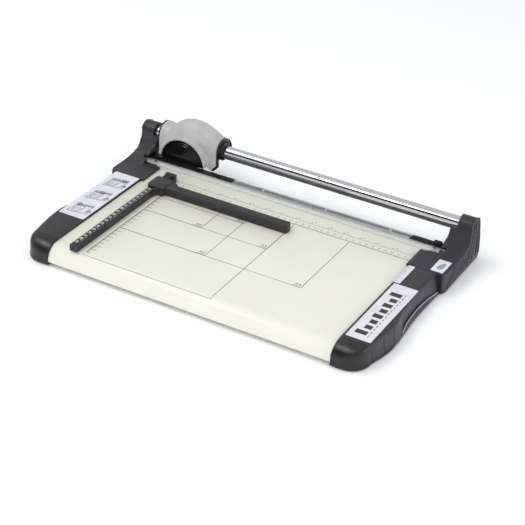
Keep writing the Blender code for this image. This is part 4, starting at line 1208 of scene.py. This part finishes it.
def make_corner_label():
    """A small square with a plain leaf."""
    low, high = label_plate("corner_label_film", "corner_label")
    middle = (low + high) / 2
    leaf = []
    for i in range(24):
        a = 2 * math.pi * i / 24
        wide, tall = 0.0042 * math.sin(a), 0.0095 * math.cos(a)
        taper = 1 - 0.35 * math.cos(a)
        leaf.append((middle.x + 0.001 + wide * taper + 0.0018 * math.cos(a), middle.y + tall))
    blade = prism("leaf", leaf, "Z", high.z - INK * 0.3, high.z + INK * 0.7)
    complete(blade, "base", "label_film", "leaf_ink")


def make_labels():
    make_left_label()
    make_right_label()
    make_corner_label()


# ---------------------------------------------------------------- packed pieces that keep their shape
KEPT = {
    "black_steel": ("base_tray",),
    "bright_steel": (
        "rail_plug_left", "rail_plug_right", "cap_screw_left", "cap_screw_right", "side_guide_screw_front",
        "side_guide_screw_rear", "clamp_spring_left", "clamp_spring_right", "blade_axle", "blade_spring",
        "guard_screw_1", "guard_screw_2",
    ),
    "dark_trim": ("blade_hub", "stop_runner"),
}


def finish_kept_pieces():
    for look, names in KEPT.items():
        for name in names:
            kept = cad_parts[name]
            kept.data.materials.clear()
            kept.data.materials.append(LOOKS[look])


# ---------------------------------------------------------------- stage
def add_light(name, size, power, place, target):
    data = bpy.data.lights.new(name, "AREA")
    data.shape = "RECTANGLE"
    data.size, data.size_y = size
    data.energy = power
    made = bpy.data.objects.new(name, data)
    bpy.context.scene.collection.objects.link(made)
    made.location = place
    made.rotation_euler = (Vector(target) - Vector(place)).to_track_quat("-Z", "Y").to_euler()
    return made


def add_flag(name, rows, grey):
    """A card that only shows in polished metal, and gives it a dark line."""
    card = skin(name, rows, closed=False)
    colour = (grey, grey, grey)
    cloth = new_look(f"{name}_cloth", colour, 0.9)
    spread(cloth, noise(cloth, 30, 2), "Base Color", shade(colour, 0.9), shade(colour, 1.1))
    card.data.materials.append(cloth)
    card.visible_camera = card.visible_diffuse = card.visible_transmission = card.visible_shadow = False


def make_stage():
    pick()
    bpy.ops.mesh.primitive_plane_add(size=24, location=(0, 0, 0))
    floor = bpy.context.object
    floor.name = "floor"
    paper = new_look("floor_paper", (0.97, 0.97, 0.97), 0.75)
    spread(paper, noise(paper, 3, 2), "Roughness", 0.7, 0.8)
    floor.data.materials.append(paper)
    world = bpy.data.worlds.new("studio")
    world.use_nodes = True
    sky = world.node_tree.nodes["Background"]
    sky.inputs["Color"].default_value = (0.95, 0.97, 1.0, 1.0)
    sky.inputs["Strength"].default_value = 0.78
    bpy.context.scene.world = world
    add_light("key_softbox", (1.3, 0.42), 11, (-0.87, -0.57, 1.93), (0, 0.05, 0))
    add_light("side_softbox", (0.9, 0.7), 4.5, (1.5, 0.15, 0.6), (0.27, 0.02, 0.03))
    add_light("overhead", (5.0, 5.0), 14, (-0.5, -0.5, 3.2), (0, 0, 0)).visible_glossy = False
    add_light("front_fill", (3.0, 1.6), 22, (0.2, -2.6, 1.0), (0, 0, 0)).visible_glossy = False
    add_flag("front_flag", [[(x, y, z) for x in (-1.1, 0.0)] for y, z in ((-0.782, 1.022), (-1.075, 0.557))], 0.02)
    reach = 0.0124  # the gutter lies this far from the rail's axis, a little outside the rail
    gutter = [(RAIL.y - reach * math.cos(a), RAIL.z + reach * math.sin(a))
              for a in (math.radians(-4 - 166 * i / 24) for i in range(25))]
    add_flag("under_flag", [[(x, y, z) for x in (-0.24, 0.24)] for y, z in gutter], 0.42)
    bpy.context.scene.view_settings.view_transform = "Standard"
    data = bpy.data.cameras.new("camera")
    data.lens = 107.2
    data.sensor_width = 36
    data.clip_start, data.clip_end = 0.05, 60
    camera = bpy.data.objects.new("camera", data)
    bpy.context.scene.collection.objects.link(camera)
    azimuth, elevation, roll = (math.radians(v) for v in (27.75, 31.32, 3.09))
    turn = Matrix.Rotation(azimuth, 4, "Z") @ Matrix.Rotation(math.pi / 2 - elevation, 4, "X")
    camera.matrix_world = Matrix.Translation((0.8900, -1.6521, 1.1322)) @ turn @ Matrix.Rotation(roll, 4, "Z")
    bpy.context.scene.camera = camera


# ---------------------------------------------------------------- operators, in the order they run
STEPS = (
    ("stage", "Stage", "Sets up the floor, the soft light and the camera", (make_stage,)),
    ("finishes", "Finishes", "Mixes the finishes of every piece", (make_finishes,)),
    ("table", "Table", "Folds the steel table and prints its scales", (make_table, make_print)),
    ("caps", "End caps", "Moulds the two end caps", (make_caps,)),
    ("brackets", "Rail brackets", "Moulds the two rail brackets", (make_brackets,)),
    ("rail", "Rail and bed", "Makes the rail, the bed and the feet", (make_rail, make_bed, make_feet, make_screws)),
    ("clamp", "Paper clamp", "Makes the clear strip and its bar", (make_clamp,)),
    ("head", "Cutting head", "Makes the head and its blade",
     (make_shell, make_guard_ring, make_guard, make_collars, make_blade)),
    ("guide", "Guide and stop", "Makes the side guide and the paper stop", (make_guide, make_stop)),
    ("labels", "Labels", "Prints the labels", (make_labels,)),
    ("kept", "Kept pieces", "Finishes the packed pieces that keep their shape", (finish_kept_pieces,)),
)


def step_operator(key, label, words, jobs):
    def execute(self, context):
        for job in jobs:
            job()
        return {"FINISHED"}

    return type(f"TRIMMER_OT_{key}", (bpy.types.Operator,), {
        "bl_idname": f"trimmer.{key}", "bl_label": label, "__doc__": words, "execute": execute,
    })


OPERATORS = [step_operator(*step) for step in STEPS]


class TRIMMER_PT_panel(bpy.types.Panel):
    """Lists the sizes, the colours and the steps that build the trimmer."""

    bl_label = "Trimmer"
    bl_space_type = "VIEW_3D"
    bl_region_type = "UI"
    bl_category = "Trimmer"

    def draw(self, context):
        for group in (context.scene.trimmer_sizes, context.scene.trimmer_colours):
            for key in group.__annotations__:
                self.layout.prop(group, key)
        for key, label, _, _ in STEPS:
            self.layout.operator(f"trimmer.{key}", text=label)


CLASSES = [TrimmerSizes, TrimmerColours, *OPERATORS, TRIMMER_PT_panel]


def register():
    for item in CLASSES:
        bpy.utils.register_class(item)
    bpy.types.Scene.trimmer_sizes = PointerProperty(type=TrimmerSizes)
    bpy.types.Scene.trimmer_colours = PointerProperty(type=TrimmerColours)


def unregister():
    del bpy.types.Scene.trimmer_colours
    del bpy.types.Scene.trimmer_sizes
    for item in reversed(CLASSES):
        bpy.utils.unregister_class(item)


def main():
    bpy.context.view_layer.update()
    register()
    for key, _, _, _ in STEPS:
        getattr(bpy.ops.trimmer, key)()


if __name__ == "__main__":
    main()
